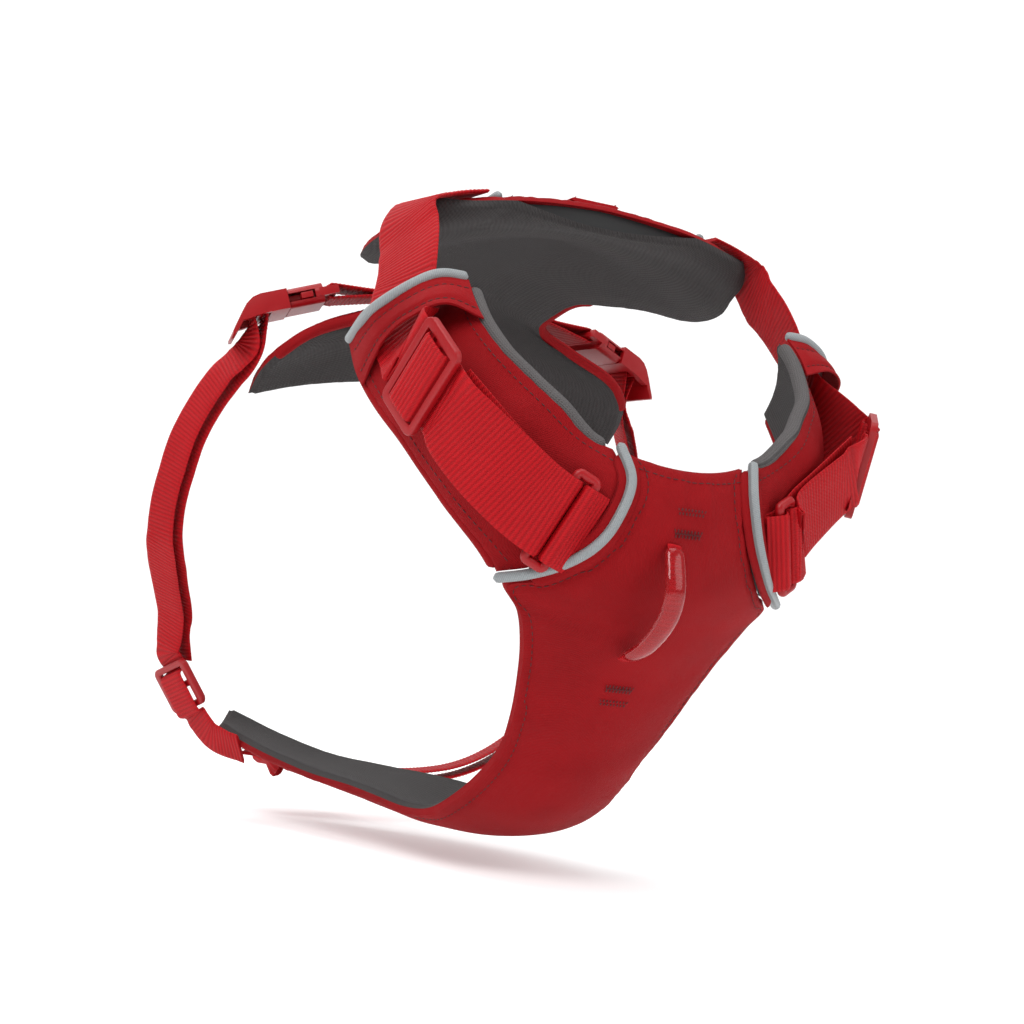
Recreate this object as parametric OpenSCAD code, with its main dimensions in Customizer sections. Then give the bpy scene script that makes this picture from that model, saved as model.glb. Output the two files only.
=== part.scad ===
// No pull dog harness: padded back, chest and shoulder panels, shoulder and girth webbing
// with tri-glide sliders, two side release buckles, a front leash loop and a back leash ring.
// +X is the dog's head, +Y the dog's left and +Z up. The origin is the middle of the torso space.

/* [Overall size] */
// Length from the chest to the end of the belly panel
harness_l = 312; // [260:1:375]
// Width across the girth straps
harness_w = 264; // [220:1:318]
// Height from the belly panel to the back panel
harness_h = 290; // [240:1:348]

/* [Webbing] */
// Width of the shoulder webbing
shoulder_webbing_w = 35; // [29:0.5:42]
// Width of the girth webbing
girth_webbing_w = 20; // [16:0.5:24]
// Width of the leash loop webbing
loop_webbing_w = 6.5; // [5.5:0.5:7.5]
// Thickness of all the webbing
webbing_t = 1.6; // [1.2:0.1:2]

/* [Padding] */
// Thickness of the outer shell fabric
shell_t = 1; // [0.8:0.1:1.2]
// Thickness of the foam
foam_t = 4; // [3:0.1:5]
// Thickness of the mesh lining
lining_t = 1; // [0.8:0.1:1.2]
// Diameter of the reflective piping
piping_d = 4.4; // [3.6:0.1:5]

/* [Hardware] */
// Thickness of the plastic sliders
slider_t = 3.2; // [2.6:0.1:3.9]
// Width of a slider's bars
slider_bar_w = 3.4; // [2.8:0.1:4.1]
// Length of a webbing slot in a slider
slider_slot_l = 7.5; // [7:0.1:9]
// Diameter of the anchor rings' bars
anchor_bar_d = 4; // [3.3:0.1:4.8]
// Outside width of a buckle
buckle_w = 30; // [28:0.5:36]
// Outside thickness of a buckle
buckle_t = 9.6; // [9:0.1:11]
// Diameter of the back leash ring's wire
ring_wire_d = 4; // [3.3:0.1:4.8]
// Outer diameter of the clear sleeve on the leash loop
sleeve_d = 9.4; // [8.6:0.1:11]

/* [Clearances] */
// Gap between webbing and the hardware it runs through
webbing_gap = 0.5; // [0.3:0.05:0.8]
// Gap between fabric pieces that lie on each other
ply_gap = 0.3; // [0.2:0.05:0.5]
// Running gap between moving plastic pieces
plastic_gap = 0.35; // [0.3:0.05:0.5]

/* [Hidden] */

red_shell = [0.62, 0.10, 0.13];
red_webbing = [0.66, 0.09, 0.13];
red_plastic = [0.60, 0.09, 0.12];
grey_lining = [0.28, 0.27, 0.27];
grey_piping = [0.58, 0.60, 0.60];
black_pocket = [0.06, 0.06, 0.06];
foam_grey = [0.45, 0.44, 0.44];
steel = [0.70, 0.71, 0.73];
clear_red = [0.85, 0.30, 0.33];

panel_t = shell_t + foam_t + lining_t;

// ---- points and frames ----

// a point of the body, in millimetres at the nominal size, moved to the chosen size
function at(p) = [p.x * harness_l / 312, p.y * harness_w / 264, p.z * harness_h / 290];
function all_at(list) = [for (p = list) at(p)];
// the same point on the left (side 1) or the right (side -1)
function on_side(p, side) = [p.x, p.y * side, p.z];
function all_on_side(list, side) = [for (p = list) on_side(p, side)];
function unit(v) = v / norm(v);

// Catmull-Rom curve through a list, at t from 0 to len - 1
function spline(p, t) =
    let (i = min(floor(t), len(p) - 2), f = t - i, b = p[i], c = p[i + 1],
         a = i > 0 ? p[i - 1] : 2 * b - c,
         d = i < len(p) - 2 ? p[i + 2] : 2 * c - b)
    0.5 * (2 * b + (c - a) * f + (2 * a - 5 * b + 4 * c - d) * f * f + (3 * b - a - 3 * c + d) * f * f * f);
// n + 1 points evenly along the curve
function curve(p, n) = [for (k = [0:n]) spline(p, k * (len(p) - 1) / n)];

// a frame is [origin, along, across, outwards]
function frame(o, along, out) =
    let (u = unit(along), k = unit(out - (out * u) * u))
    [o, u, cross(k, u), k];
function in_frame(f, p) = f[0] + p.x * f[1] + p.y * f[2] + p.z * f[3];
module place(f) {
    multmatrix([
        [f[1].x, f[2].x, f[3].x, f[0].x],
        [f[1].y, f[2].y, f[3].y, f[0].y],
        [f[1].z, f[2].z, f[3].z, f[0].z],
        [0, 0, 0, 1]
    ]) children();
}

// ---- padded sheets ----

// the curve across a panel through three points: one edge, the middle, the other edge
function across(a, b, c, v) = (1 - 2 * v) * (1 - v) * a + 4 * v * (1 - v) * b + v * (2 * v - 1) * c;
function panel_grid(rows, nu, nv) =
    let (a = curve([for (r = rows) r[0]], nu), b = curve([for (r = rows) r[1]], nu),
         c = curve([for (r = rows) r[2]], nu))
    [for (i = [0:nu]) [for (j = [0:nv]) across(a[i], b[i], c[i], j / nv)]];
function grid_normals(g) =
    let (n = len(g) - 1, m = len(g[0]) - 1)
    [for (i = [0:n]) [for (j = [0:m])
        let (du = g[min(i + 1, n)][j] - g[max(i - 1, 0)][j],
             dv = g[i][min(j + 1, m)] - g[i][max(j - 1, 0)])
        unit(cross(du, dv))]];
function grid_offset(g, nrm, t) =
    [for (i = [0:len(g) - 1]) [for (j = [0:len(g[0]) - 1]) g[i][j] + nrm[i][j] * t]];

// a closed solid between two grids; the first lies on the outer side
module between(outer, inner) {
    n = len(outer) - 1;
    m = len(outer[0]) - 1;
    half = (n + 1) * (m + 1);
    points = concat([for (r = outer) for (p = r) p], [for (r = inner) for (p = r) p]);
    function id(i, j) = i * (m + 1) + j;
    faces = concat(
        [for (i = [0:n - 1], j = [0:m - 1], k = [0, 1])
            k == 0 ? [id(i, j), id(i, j + 1), id(i + 1, j + 1)] : [id(i, j), id(i + 1, j + 1), id(i + 1, j)]],
        [for (i = [0:n - 1], j = [0:m - 1], k = [0, 1])
            k == 0 ? [half + id(i, j), half + id(i + 1, j + 1), half + id(i, j + 1)]
                : [half + id(i, j), half + id(i + 1, j), half + id(i + 1, j + 1)]],
        [for (i = [0:n - 1]) each wall(id(i, 0), id(i + 1, 0), half)],
        [for (i = [0:n - 1]) each wall(id(i + 1, m), id(i, m), half)],
        [for (j = [0:m - 1]) each wall(id(0, j + 1), id(0, j), half)],
        [for (j = [0:m - 1]) each wall(id(n, j), id(n, j + 1), half)]
    );
    polyhedron(points, faces, convexity = 8);
}
function wall(a, b, half) = [[a, b, half + b], [a, half + b, half + a]];

// one layer of a panel, from depth a to depth b under its outer face
module layer(g, nrm, a, b) {
    between(grid_offset(g, nrm, -a), grid_offset(g, nrm, -b));
}

// ---- webbing and piping ----

// flat webbing along dense points, with its width direction at each
module ribbon(path, width_dirs, w, t = webbing_t) {
    n = len(path) - 1;
    rings = [for (k = [0:n])
        let (along = unit(path[min(k + 1, n)] - path[max(k - 1, 0)]),
             out = unit(cross(along, width_dirs[k])), wide = cross(out, along))
        [path[k] - wide * w / 2 - out * t / 2, path[k] + wide * w / 2 - out * t / 2,
         path[k] + wide * w / 2 + out * t / 2, path[k] - wide * w / 2 + out * t / 2]];
    tube(rings);
}
// a closed tube through rings of points
module tube(rings) {
    n = len(rings) - 1;
    m = len(rings[0]);
    faces = concat(
        [for (i = [0:n - 1], j = [0:m - 1], k = [0, 1])
            let (a = i * m + j, b = i * m + (j + 1) % m)
            k == 0 ? [a, b + m, b] : [a, a + m, b + m]],
        [[for (j = [0:m - 1]) j]],
        [[for (j = [m - 1:-1:0]) n * m + j]]
    );
    polyhedron([for (r = rings) for (p = r) p], faces, convexity = 8);
}
// a closed tube with a hole along it
module hollow_tube(outer, inner) {
    n = len(outer) - 1;
    m = len(outer[0]);
    half = (n + 1) * m;
    faces = concat(
        [for (i = [0:n - 1], j = [0:m - 1], k = [0, 1])
            let (a = i * m + j, b = i * m + (j + 1) % m)
            k == 0 ? [a, b + m, b] : [a, a + m, b + m]],
        [for (i = [0:n - 1], j = [0:m - 1], k = [0, 1])
            let (a = half + i * m + j, b = half + i * m + (j + 1) % m)
            k == 0 ? [a, b, b + m] : [a, b + m, a + m]],
        [for (j = [0:m - 1]) let (b = (j + 1) % m) each wall(j, b, half)],
        [for (j = [0:m - 1]) let (b = (j + 1) % m) each wall(n * m + b, n * m + j, half)]);
    polyhedron(concat([for (r = outer) each r], [for (r = inner) each r]), faces, convexity = 8);
}
// a round cord along dense points
module cord(path, d, sides, up) {
    n = len(path) - 1;
    rings = [for (k = [0:n])
        let (along = unit(path[min(k + 1, n)] - path[max(k - 1, 0)]),
             u = unit(cross(along, up)), v = cross(along, u))
        [for (j = [0:sides - 1]) path[k] + d / 2 * (cos(j * 360 / sides) * u + sin(j * 360 / sides) * v)]];
    tube(rings);
}
// points on an arc in a frame's along-outwards plane
function arc(f, centre, r, from, to, n) =
    [for (k = [0:n])
        let (a = from + (to - from) * k / n)
        in_frame(f, [centre.x + r * cos(a), 0, centre.y + r * sin(a)])];
function same(v, n) = [for (k = [1:n]) v];

// ---- back panel ----

// each row: x and z of its middle, x half way out, then x, y and z of its edge
back_rows = [
    [70, 136, 74, 62, 77, 125],
    [62, 135, 65, 50, 88, 117],
    [52, 134, 53, 38, 94, 112],
    [41, 132, 41, 25, 96, 107],
    [30, 131, 28, 12, 90, 106],
    [19, 129, 16, 2, 73, 109],
    [6, 126, 3, -8, 58, 110],
    [-8, 122, -11, -20, 45, 110],
    [-22, 117, -25, -33, 40, 105],
    [-38, 109, -41, -47, 40, 98],
    [-48, 103, -50, -51, 58, 90],
    [-56, 97, -57, -50, 84, 79],
    [-63, 92, -64, -54, 98, 68],
    [-76, 82, -76, -65, 104, 58],
    [-94, 67, -89, -77, 104.5, 47]
];
// the point of a row at s, from -1 on the right edge to 1 on the left edge
function back_point(r, s) =
    let (a = (16 * (r[2] - r[0]) - (r[3] - r[0])) / 3, b = r[3] - r[0] - a)
    at([r[0] + a * s * s + b * pow(s, 4), r[4] * s, r[1] + (r[5] - r[1]) * pow(abs(s), 1.6)]);
back_nu = 24;
back_nv = 12;
back_grid =
    [for (r = curve(back_rows, back_nu)) [for (j = [0:back_nv]) back_point(r, 1 - 2 * j / back_nv)]];
back_normals = grid_normals(back_grid);
// the part of the grid that the neck pocket covers
pocket_rows = 7;
pocket_cols = [3:9];
pocket_t = 0.8;

module back_shell() {
    color(red_shell) layer(back_grid, back_normals, 0, shell_t);
}
module back_foam() {
    outer = [for (i = [0:back_nu]) [for (j = [0:back_nv])
        let (thinner = i <= pocket_rows && j >= pocket_cols[0] && j <= pocket_cols[2] ? pocket_t : 0)
        back_grid[i][j] - back_normals[i][j] * (shell_t + thinner)]];
    color(foam_grey) between(outer, grid_offset(back_grid, back_normals, -shell_t - foam_t));
}
module back_lining() {
    color(grey_lining) layer(back_grid, back_normals, shell_t + foam_t, panel_t);
}
module back_pocket_liner() {
    g = [for (i = [0:pocket_rows]) [for (j = pocket_cols) back_grid[i][j]]];
    n = [for (i = [0:pocket_rows]) [for (j = pocket_cols) back_normals[i][j]]];
    color(black_pocket) layer(g, n, shell_t, shell_t + pocket_t);
}

// a frame on the middle line of the back, at row t, whose along direction points to the tail
function back_centre(t) =
    let (p = [for (r = back_rows) at([r[0], 0, r[1]])])
    frame(spline(p, t), spline(p, t + 0.2) - spline(p, t - 0.2), [0, 0, 1]);
spine_webbing_w = 25;
spine_rows = [1, 12];
spine_lift = ply_gap + webbing_t / 2;
module back_spine_webbing() {
    n = 14;
    frames = [for (k = [0:n]) back_centre(spine_rows[0] + (spine_rows[1] - spine_rows[0]) * k / n)];
    color(red_webbing)
        ribbon([for (f = frames) in_frame(f, [0, 0, spine_lift])], same([0, 1, 0], n + 1), spine_webbing_w);
}

// ---- back leash ring ----

ring_row = 6.4;
ring_frame = back_centre(ring_row);
keeper_z = spine_lift + webbing_t + ply_gap;
keeper_r = ring_wire_d / 2 + webbing_gap + webbing_t / 2;
ring_bar_z = keeper_z + keeper_r;
ring_bow_r = (spine_webbing_w + 3 + ring_wire_d) / 2;
module back_leash_ring() {
    color(steel) place(ring_frame) translate([0, 0, ring_bar_z]) {
        rotate([90, 0, 0]) cylinder(h = 2 * ring_bow_r, d = ring_wire_d, center = true, $fn = 16);
        rotate([0, 0, -90]) rotate_extrude(angle = 180, $fn = 40)
            translate([ring_bow_r, 0]) circle(d = ring_wire_d, $fn = 16);
        for (s = [-1, 1]) translate([0, s * ring_bow_r, 0]) sphere(d = ring_wire_d, $fn = 16);
    }
}
// webbing folded round the ring's bar, with both ends sewn down in front of it
module back_ring_keeper() {
    top = keeper_z + webbing_t + ply_gap;
    ends = [[17, keeper_z], [4, keeper_z]];
    path = concat(
        [for (p = ends) in_frame(ring_frame, [-p.x, 0, p.y])],
        arc(ring_frame, [0, ring_bar_z], keeper_r, 270, 450, 10),
        [for (p = [[6, top + 1.6], [11, top], [16, top]]) in_frame(ring_frame, [-p.x, 0, p.y])]);
    color(red_webbing) ribbon(path, same(ring_frame[2], len(path)), spine_webbing_w - 3);
}

// ---- reflective piping on the back ----

// rows and s of the seams on the left side
front_seam = [[0, 0.66], [2, 0.56], [4, 0.57], [5.9, 0.94]];
rear_seam = [[9.3, 0.92], [10.3, 0.5], [12, 0.31], [14, 0.31]];
function on_back(t, s, lift) =
    let (e = 0.02, r = spline(back_rows, t), p = back_point(r, s),
         du = back_point(spline(back_rows, t + e), s) - p, dv = back_point(r, s - e) - p)
    p + unit(cross(du, dv)) * lift;
module back_piping(seam, side) {
    path = [for (q = curve(seam, 9)) on_back(min(q[0], 13.9), q[1] * side, piping_d / 2 + ply_gap)];
    color(grey_piping) cord(path, piping_d, 8, [0, 0, 1]);
}

// ---- chest and belly panel ----

// each row: its right edge, its middle and its left edge, from the neck down and back to the tail end
chest_rows = [
    [[150, -30, 20], [156, 0, 15], [150, 30, 20]],
    [[156, -27, 7], [159, 0, 4], [156, 27, 7]],
    [[155, -31, -8], [159, 0, -9], [155, 31, -8]],
    [[152, -37, -20], [156, 0, -22], [152, 37, -20]],
    [[145, -46, -29], [151, 0, -34], [145, 46, -29]],
    [[136, -56, -35], [145, 0, -43], [136, 56, -35]],
    [[125, -66, -38], [139, 0, -51], [125, 66, -38]],
    [[123, -57, -49], [132, 0, -60], [123, 57, -49]],
    [[116, -50, -63], [123, 0, -72], [116, 50, -63]],
    [[107, -45, -78], [114, 0, -87], [107, 45, -78]],
    [[97, -41, -93], [104, 0, -102], [97, 41, -93]],
    [[84, -38, -108], [92, 0, -118], [84, 38, -108]],
    [[68, -39, -122], [76, 0, -133], [68, 39, -122]],
    [[50, -41, -134], [56, 0, -144], [50, 41, -134]],
    [[32, -42, -142], [33, 0, -150], [27, 41, -143]],
    [[12, -44, -144], [8, -2, -151], [0, 38, -144]],
    [[-10, -48, -142], [-18, -8, -149], [-28, 31, -142]],
    [[-33, -52, -140], [-46, -18, -145], [-60, 15, -139]],
    [[-60, -60, -138], [-76, -31, -141], [-90, -3, -138]],
    [[-86, -68, -134], [-102, -46, -137], [-114, -24, -135]],
    [[-108, -76, -129], [-122, -61, -130], [-136, -46, -127]],
    [[-128, -83, -123], [-140, -76, -122], [-152, -68, -116]]
];
chest_grid = panel_grid(all_rows(chest_rows), 36, 6);
chest_normals = grid_normals(chest_grid);
function all_rows(rows) = [for (r = rows) all_at(r)];

module chest_shell() {
    color(red_shell) layer(chest_grid, chest_normals, 0, shell_t);
}
module chest_foam() {
    color(foam_grey) layer(chest_grid, chest_normals, shell_t, shell_t + foam_t);
}
module chest_lining() {
    color(grey_lining) layer(chest_grid, chest_normals, shell_t + foam_t, panel_t);
}
// the seam where a shoulder pad meets the chest, on the left side
chest_seam = [
    [151.5, 33, 22], [158, 30, 7], [157, 34.5, -9], [153.5, 41, -20], [146, 50, -28], [137, 60, -33],
    [126, 70.5, -36]
];
module chest_piping(side) {
    path = curve(all_at(all_on_side(chest_seam, side)), 20);
    color(grey_piping) cord(path, piping_d, 8, [1, 0, 0.2]);
}

// ---- front leash loop ----

loop_points = [
    [159.5, -8, -16.5], [163, -9, -24], [166, -10, -34], [164, -10, -43], [158, -10, -51], [147, -10, -59],
    [133.5, -10, -64]
];
loop_path = curve(all_at(loop_points), 18);
loop_across = unit(cross(loop_path[18] - loop_path[0], [1, 0, -0.4]));
sleeve_t = 5;
sleeve_wall = 0.8;
module leash_loop_webbing() {
    color(red_webbing) ribbon(loop_path, same(loop_across, 19), loop_webbing_w);
}
// the sleeve is an oval tube round the webbing, between the loop's two ends
module leash_loop_sleeve() {
    first = 1;
    last = 17;
    function oval(k, grow) =
        let (along = unit(loop_path[k + 1] - loop_path[k - 1]), out = unit(cross(along, loop_across)),
             wide = cross(out, along))
        [for (j = [0:9]) loop_path[k] + (sleeve_d / 2 + grow) * cos(j * 36) * wide
            + (sleeve_t / 2 + grow) * sin(j * 36) * out];
    color(clear_red)
        hollow_tube([for (k = [first:last]) oval(k, 0)], [for (k = [first:last]) oval(k, -sleeve_wall)]);
}

// ---- shoulder pads ----

// each row on the left side: the neck edge, the crown and the outer edge, from the chest to the tip
pad_rows = [
    [[150, 36, 24], [150, 44, -18], [123, 75, -32]],
    [[148, 47, 27], [138, 69, 3], [118, 81, -20]],
    [[145, 58, 36], [133, 82, 16], [111, 91, -5]],
    [[138, 67, 45], [125, 89, 26], [103, 97, 6]],
    [[130, 76, 55], [116, 95, 37], [94, 103, 18]],
    [[119, 81, 67], [102, 99, 49], [80, 108, 31]],
    [[111, 82, 76], [92, 100, 60], [68, 111, 44]],
    [[103, 81, 84], [82, 99, 71], [58, 111, 57]]
];
pad_nu = 14;
pad_nv = 8;
// the pad's first rows are drawn to the chest's piping, which covers the seam
function pad_grid(side) =
    let (raw = panel_grid([for (r = pad_rows)
             let (p = all_at(all_on_side(r, side)))
             side == 1 ? [p[2], p[1], p[0]] : p], pad_nu, pad_nv),
         n = grid_normals(raw)[0], seam = all_at(all_on_side(chest_seam, side)), end = len(seam) - 1,
         edge = [for (j = [0:pad_nv])
             let (t = end * (side == 1 ? 1 - j / pad_nv : j / pad_nv),
                  along = spline(seam, min(t + 0.1, end)) - spline(seam, max(t - 0.1, 0)))
             spline(seam, t) - side * unit(cross(along, n[j])) * (piping_d / 2 + ply_gap) - n[j] * 2.2])
    [for (i = [0:pad_nu]) [for (j = [0:pad_nv])
        let (f = max(0, 1 - i / 4))
        raw[i][j] + (edge[j] - raw[0][j]) * f * f * (3 - 2 * f)]];
module shoulder_layer(side, from, to) {
    g = pad_grid(side);
    layer(g, grid_normals(g), from, to);
}
module shoulder_shell(side) {
    color(red_shell) shoulder_layer(side, 0, shell_t);
}
module shoulder_foam(side) {
    color(foam_grey) shoulder_layer(side, shell_t, shell_t + foam_t);
}
module shoulder_lining(side) {
    color(grey_lining) shoulder_layer(side, shell_t + foam_t, panel_t);
}
// the cuff is a band across the pad's tip that stands off it, so the webbing can run under it;
// three points across its top edge and its lower edge, on the left side
cuff_top = [[102.5, 95, 84], [99.5, 107, 77], [84, 115, 67]];
cuff_low = [[117, 97, 71.5], [112, 107.3, 66.8], [95, 113, 57]];
cuff_rows = 4;
// rows of the pad that the cuff covers along the pad's neck edge and its outer edge
cuff_reach = [4, 2.8];
cuff_t = 1;
function between_rows(g, r, j) =
    let (i = min(floor(r), pad_nu - 1))
    g[i][j] + (g[i + 1][j] - g[i][j]) * (r - i);
function cuff_grid(side) =
    let (g = pad_grid(side), lifted = grid_offset(g, grid_normals(g), cuff_t + ply_gap),
         up = side == 1 ? [2, 1, 0] : [0, 1, 2],
         reach = side == 1 ? [cuff_reach[1], cuff_reach[0]] : cuff_reach)
    [for (i = [0:cuff_rows])
        let (f = i / cuff_rows,
             q = [for (k = up) at(on_side((1 - f) * cuff_low[k] + f * cuff_top[k], side))])
        curve([
            between_rows(lifted, pad_nu - reach[0] * (1 - f), 0), q[0], q[1], q[2],
            between_rows(lifted, pad_nu - reach[1] * (1 - f), pad_nv)
        ], 12)];
module shoulder_cuff(side) {
    g = cuff_grid(side);
    color(red_shell) layer(g, grid_normals(g), 0, cuff_t);
}
module shoulder_piping(side) {
    g = cuff_grid(side);
    path = [for (j = [0:12])
        g[cuff_rows][j] + unit(g[cuff_rows][j] - g[cuff_rows - 1][j]) * (piping_d / 2 + ply_gap)];
    color(grey_piping) cord(path, piping_d, 8, [0, side, 0.3]);
}

// ---- sliders ----

slider_l = 3 * slider_bar_w + 2 * slider_slot_l;
slider_rail_w = 4.5;
module tri_glide(webbing_w) {
    slot_w = webbing_w + 2 * webbing_gap;
    w = slot_w + 2 * slider_rail_w;
    r = 4;
    linear_extrude(slider_t, center = true) difference() {
        union() {
            square([slider_l - 2 * r, w], center = true);
            square([slider_l, w - 2 * r], center = true);
            for (x = [-1, 1], y = [-1, 1])
                translate([x * (slider_l / 2 - r), y * (w / 2 - r)]) circle(r, $fn = 32);
        }
        for (x = [-1, 1])
            translate([x * (slider_bar_w + slider_slot_l) / 2, 0])
                square([slider_slot_l, slot_w], center = true);
    }
}
// how far webbing over or under a bar lies from the slider's middle plane
thread_z = slider_t / 2 + webbing_gap + webbing_t / 2;
// the webbing's way through a slider: under the first bar, over the middle bar and under the last
thread = [
    [-slider_l / 2 - 1, -thread_z], [-slider_l / 2 + slider_bar_w + 0.2, -thread_z],
    [-slider_bar_w / 2 - 0.2, thread_z], [slider_bar_w / 2 + 0.2, thread_z],
    [slider_l / 2 - slider_bar_w - 0.2, -thread_z], [slider_l / 2 + 1, -thread_z]
];
function threaded(f) = [for (p = thread) in_frame(f, [p[0], 0, p[1]])];
// a girth strap comes round its slider's lower end and stays on top as far as the middle bar
girth_thread = concat([for (k = [0:3]) thread[k]],
    [[slider_l / 2, thread_z], [slider_l / 2 + 2, thread_z - 0.8], [slider_l / 2 + 3.2, thread_z - 3]]);
// how far outside a slider its webbing still runs straight
lead = 5;

// the shoulder sliders stand a little differently on the two sides
function shoulder_slider_frame(side) = side == 1
    ? frame(at([126, 111, 30]), [0.76, -0.56, -0.33], [0.5, 0.84, -0.15])
    : frame(at([121, -108, 40]), [0.66, 0.24, -0.71], [0.21, -0.97, -0.13]);
module shoulder_slider(side) {
    color(red_plastic) place(shoulder_slider_frame(side)) tri_glide(shoulder_webbing_w);
}

// ---- anchor rings and their webbing ----

anchor_bar_x = anchor_bar_d / 2 + webbing_t + 1.5 * webbing_gap;
wrap_r = anchor_bar_d / 2 + webbing_gap + webbing_t / 2;
// the left ring hangs a little nearer to the chest than the right one
function anchor_frame(side) =
    frame(at(side == 1 ? [149.1, 55.5, -11.3] : [149.2, -55.6, -11.4]),
        on_side([0.3, -0.83, -0.45], side), on_side([0.85, 0.5, -0.1], side));
module anchor_ring(side) {
    w = shoulder_webbing_w + 2 * webbing_gap + anchor_bar_d;
    color(red_plastic) place(anchor_frame(side)) {
        for (x = [-1, 1]) translate([x * anchor_bar_x, 0, 0])
            rotate([90, 0, 0]) cylinder(h = w, d = anchor_bar_d, center = true, $fn = 14);
        for (y = [-1, 1]) translate([0, y * w / 2, 0])
            rotate([0, 90, 0]) cylinder(h = 2 * anchor_bar_x, d = anchor_bar_d, center = true, $fn = 14);
        for (x = [-1, 1], y = [-1, 1]) translate([x * anchor_bar_x, y * w / 2, 0])
            sphere(d = anchor_bar_d, $fn = 14);
    }
}
// its two plies end against the chest's piping
module anchor_webbing(side) {
    f = anchor_frame(side);
    end = side == 1 ? 10.6 : 12;
    path = concat(
        [for (p = [[end, -1.1], [anchor_bar_x + 2.5, wrap_r - 1.2]]) in_frame(f, [p.x, 0, p.y])],
        arc(f, [anchor_bar_x, 0], wrap_r, 80, 280, 8),
        [for (p = [[anchor_bar_x + 2.5, -wrap_r], [end, -3.1]]) in_frame(f, [p.x, 0, p.y])]);
    color(red_webbing) ribbon(path, same(f[2], len(path)), shoulder_webbing_w);
}

// ---- shoulder straps ----

// from the arm of the back panel to the cuff, on the left side, with the width direction at each point
strap_start = [
    [[55.5, 60, 130.5], [-1, 0, 0]],
    [[55.5, 69, 128.5], [-1, 0, 0]],
    [[55.5, 78, 126], [-1, 0.05, 0]],
    [[56, 86, 123], [-0.98, 0.1, 0]],
    [[59, 91, 115.5], [-0.97, 0.18, -0.08]],
    [[65.5, 93, 106.5], [-0.95, 0.22, -0.15]],
    [[73.5, 96, 97], [-0.92, 0.28, -0.25]],
    [[80, 99.5, 86], [-0.86, 0.36, -0.34]],
    [[84, 102, 76], [-0.8, 0.43, -0.4]],
    [[90, 103.5, 68], [-0.72, 0.43, -0.52]],
    [[98, 104, 58], [-0.6, 0.36, -0.7]]
];
// the outer strand between slider and anchor ring, which hangs differently on the two sides
strand_left = [
    [[138, 93, 19.5], [-0.5, 0.4, -0.76]], [[141, 79, 9], [-0.45, 0.42, -0.79]],
    [[145, 66, -1.5], [-0.38, 0.42, -0.82]]
];
strand_right = [
    [[136, -97, 21], [-0.62, -0.15, -0.77]], [[142.5, -86, 9], [-0.5, -0.28, -0.82]],
    [[146.5, -71, -3], [-0.38, -0.36, -0.85]]
];
strand_inset = 3;
module shoulder_strap(side) {
    s = shoulder_slider_frame(side);
    f = anchor_frame(side);
    w = side * s[2];
    fw = side * f[2];
    t = threaded(s);
    strand = side == 1 ? strand_left : strand_right;
    middle = [for (q = strand) at(q[0])];
    middle_w = [for (q = strand) q[1]];
    inner = [for (k = [0:2])
        let (along = (k < 2 ? middle[k + 1] : f[0]) - middle[k])
        middle[k] - side * unit(cross(along, middle_w[k])) * strand_inset];
    down = concat([for (q = strap_start) at(on_side(q[0], side))], [t[0] - s[1] * lead, t[0]]);
    down_w = concat([for (q = strap_start) on_side(q[1], side)], [w, w]);
    out = concat([t[5], t[5] + s[1] * 4], middle, [in_frame(f, [-anchor_bar_x - 3, 0, wrap_r])]);
    out_w = concat([w, w], middle_w, [fw]);
    around = arc(f, [-anchor_bar_x, 0], wrap_r, 90, -90, 8);
    back = [
        in_frame(f, [-anchor_bar_x - 3, 0, -wrap_r]), inner[2], inner[1],
        in_frame(s, [slider_l / 2 - 2, 0, -thread_z - strand_inset])
    ];
    back_w = [fw, middle_w[2], middle_w[1], w];
    path = concat(curve(down, 24), [for (k = [1:4]) t[k]], curve(out, 10), around, curve(back, 8));
    color(red_webbing) ribbon(path,
        concat(curve(down_w, 24), same(w, 4), curve(out_w, 10), same(fw, 9), curve(back_w, 8)),
        shoulder_webbing_w);
}

// ---- buckles ----

// a buckle's frame: its origin is in the mouth of the socket, and along points out to the plug
function buckle_frame(side) =
    frame(at(on_side([-69, 91, 90], side)),
        on_side([-0.25, 0.92, -0.32], side), on_side([-0.15, 0.3, 0.94], side));
socket_l = 17;
socket_wall = 2;
cavity_w = buckle_w - 8;
cavity_t = buckle_t - 2 * socket_wall;
bar_d = 4;
socket_bar_x = -socket_l - webbing_t - 2 * webbing_gap - bar_d / 2 - 1;
plug_bar_x = 14.5;
plug_bar_z = -3;
plug_block_l = 9.5;
// the curved hood over the webbing, seen along the bar: its outer side, then its inner side
hood = [
    [8, 4.8], [13, 4.8], [17, 3.9], [20.6, 1.4], [24, -2.6], [26.8, -6.4], [29.6, -9.9], [30, -11.4],
    [28.6, -11.6], [24.8, -7.4], [21.6, -3.4], [18.9, 0], [16, 1.9], [13, 2.6], [8, 2.6]
];
side_arm_w = 3.5;
prong_w = 3.4;
prong_t = 3;
prong_x = 2.5;
lug_x = [-12, -6];
wrap_bar_r = bar_d / 2 + webbing_gap + webbing_t / 2;
module web_bar(x, from) {
    translate([x, 0, 0]) rotate([90, 0, 0])
        cylinder(h = buckle_w - side_arm_w, d = bar_d, center = true, $fn = 32);
    for (s = [-1, 1]) translate([(x + from) / 2, s * (buckle_w - side_arm_w) / 2, 0])
        cube([abs(from - x) + bar_d, side_arm_w, bar_d], center = true);
}
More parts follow.
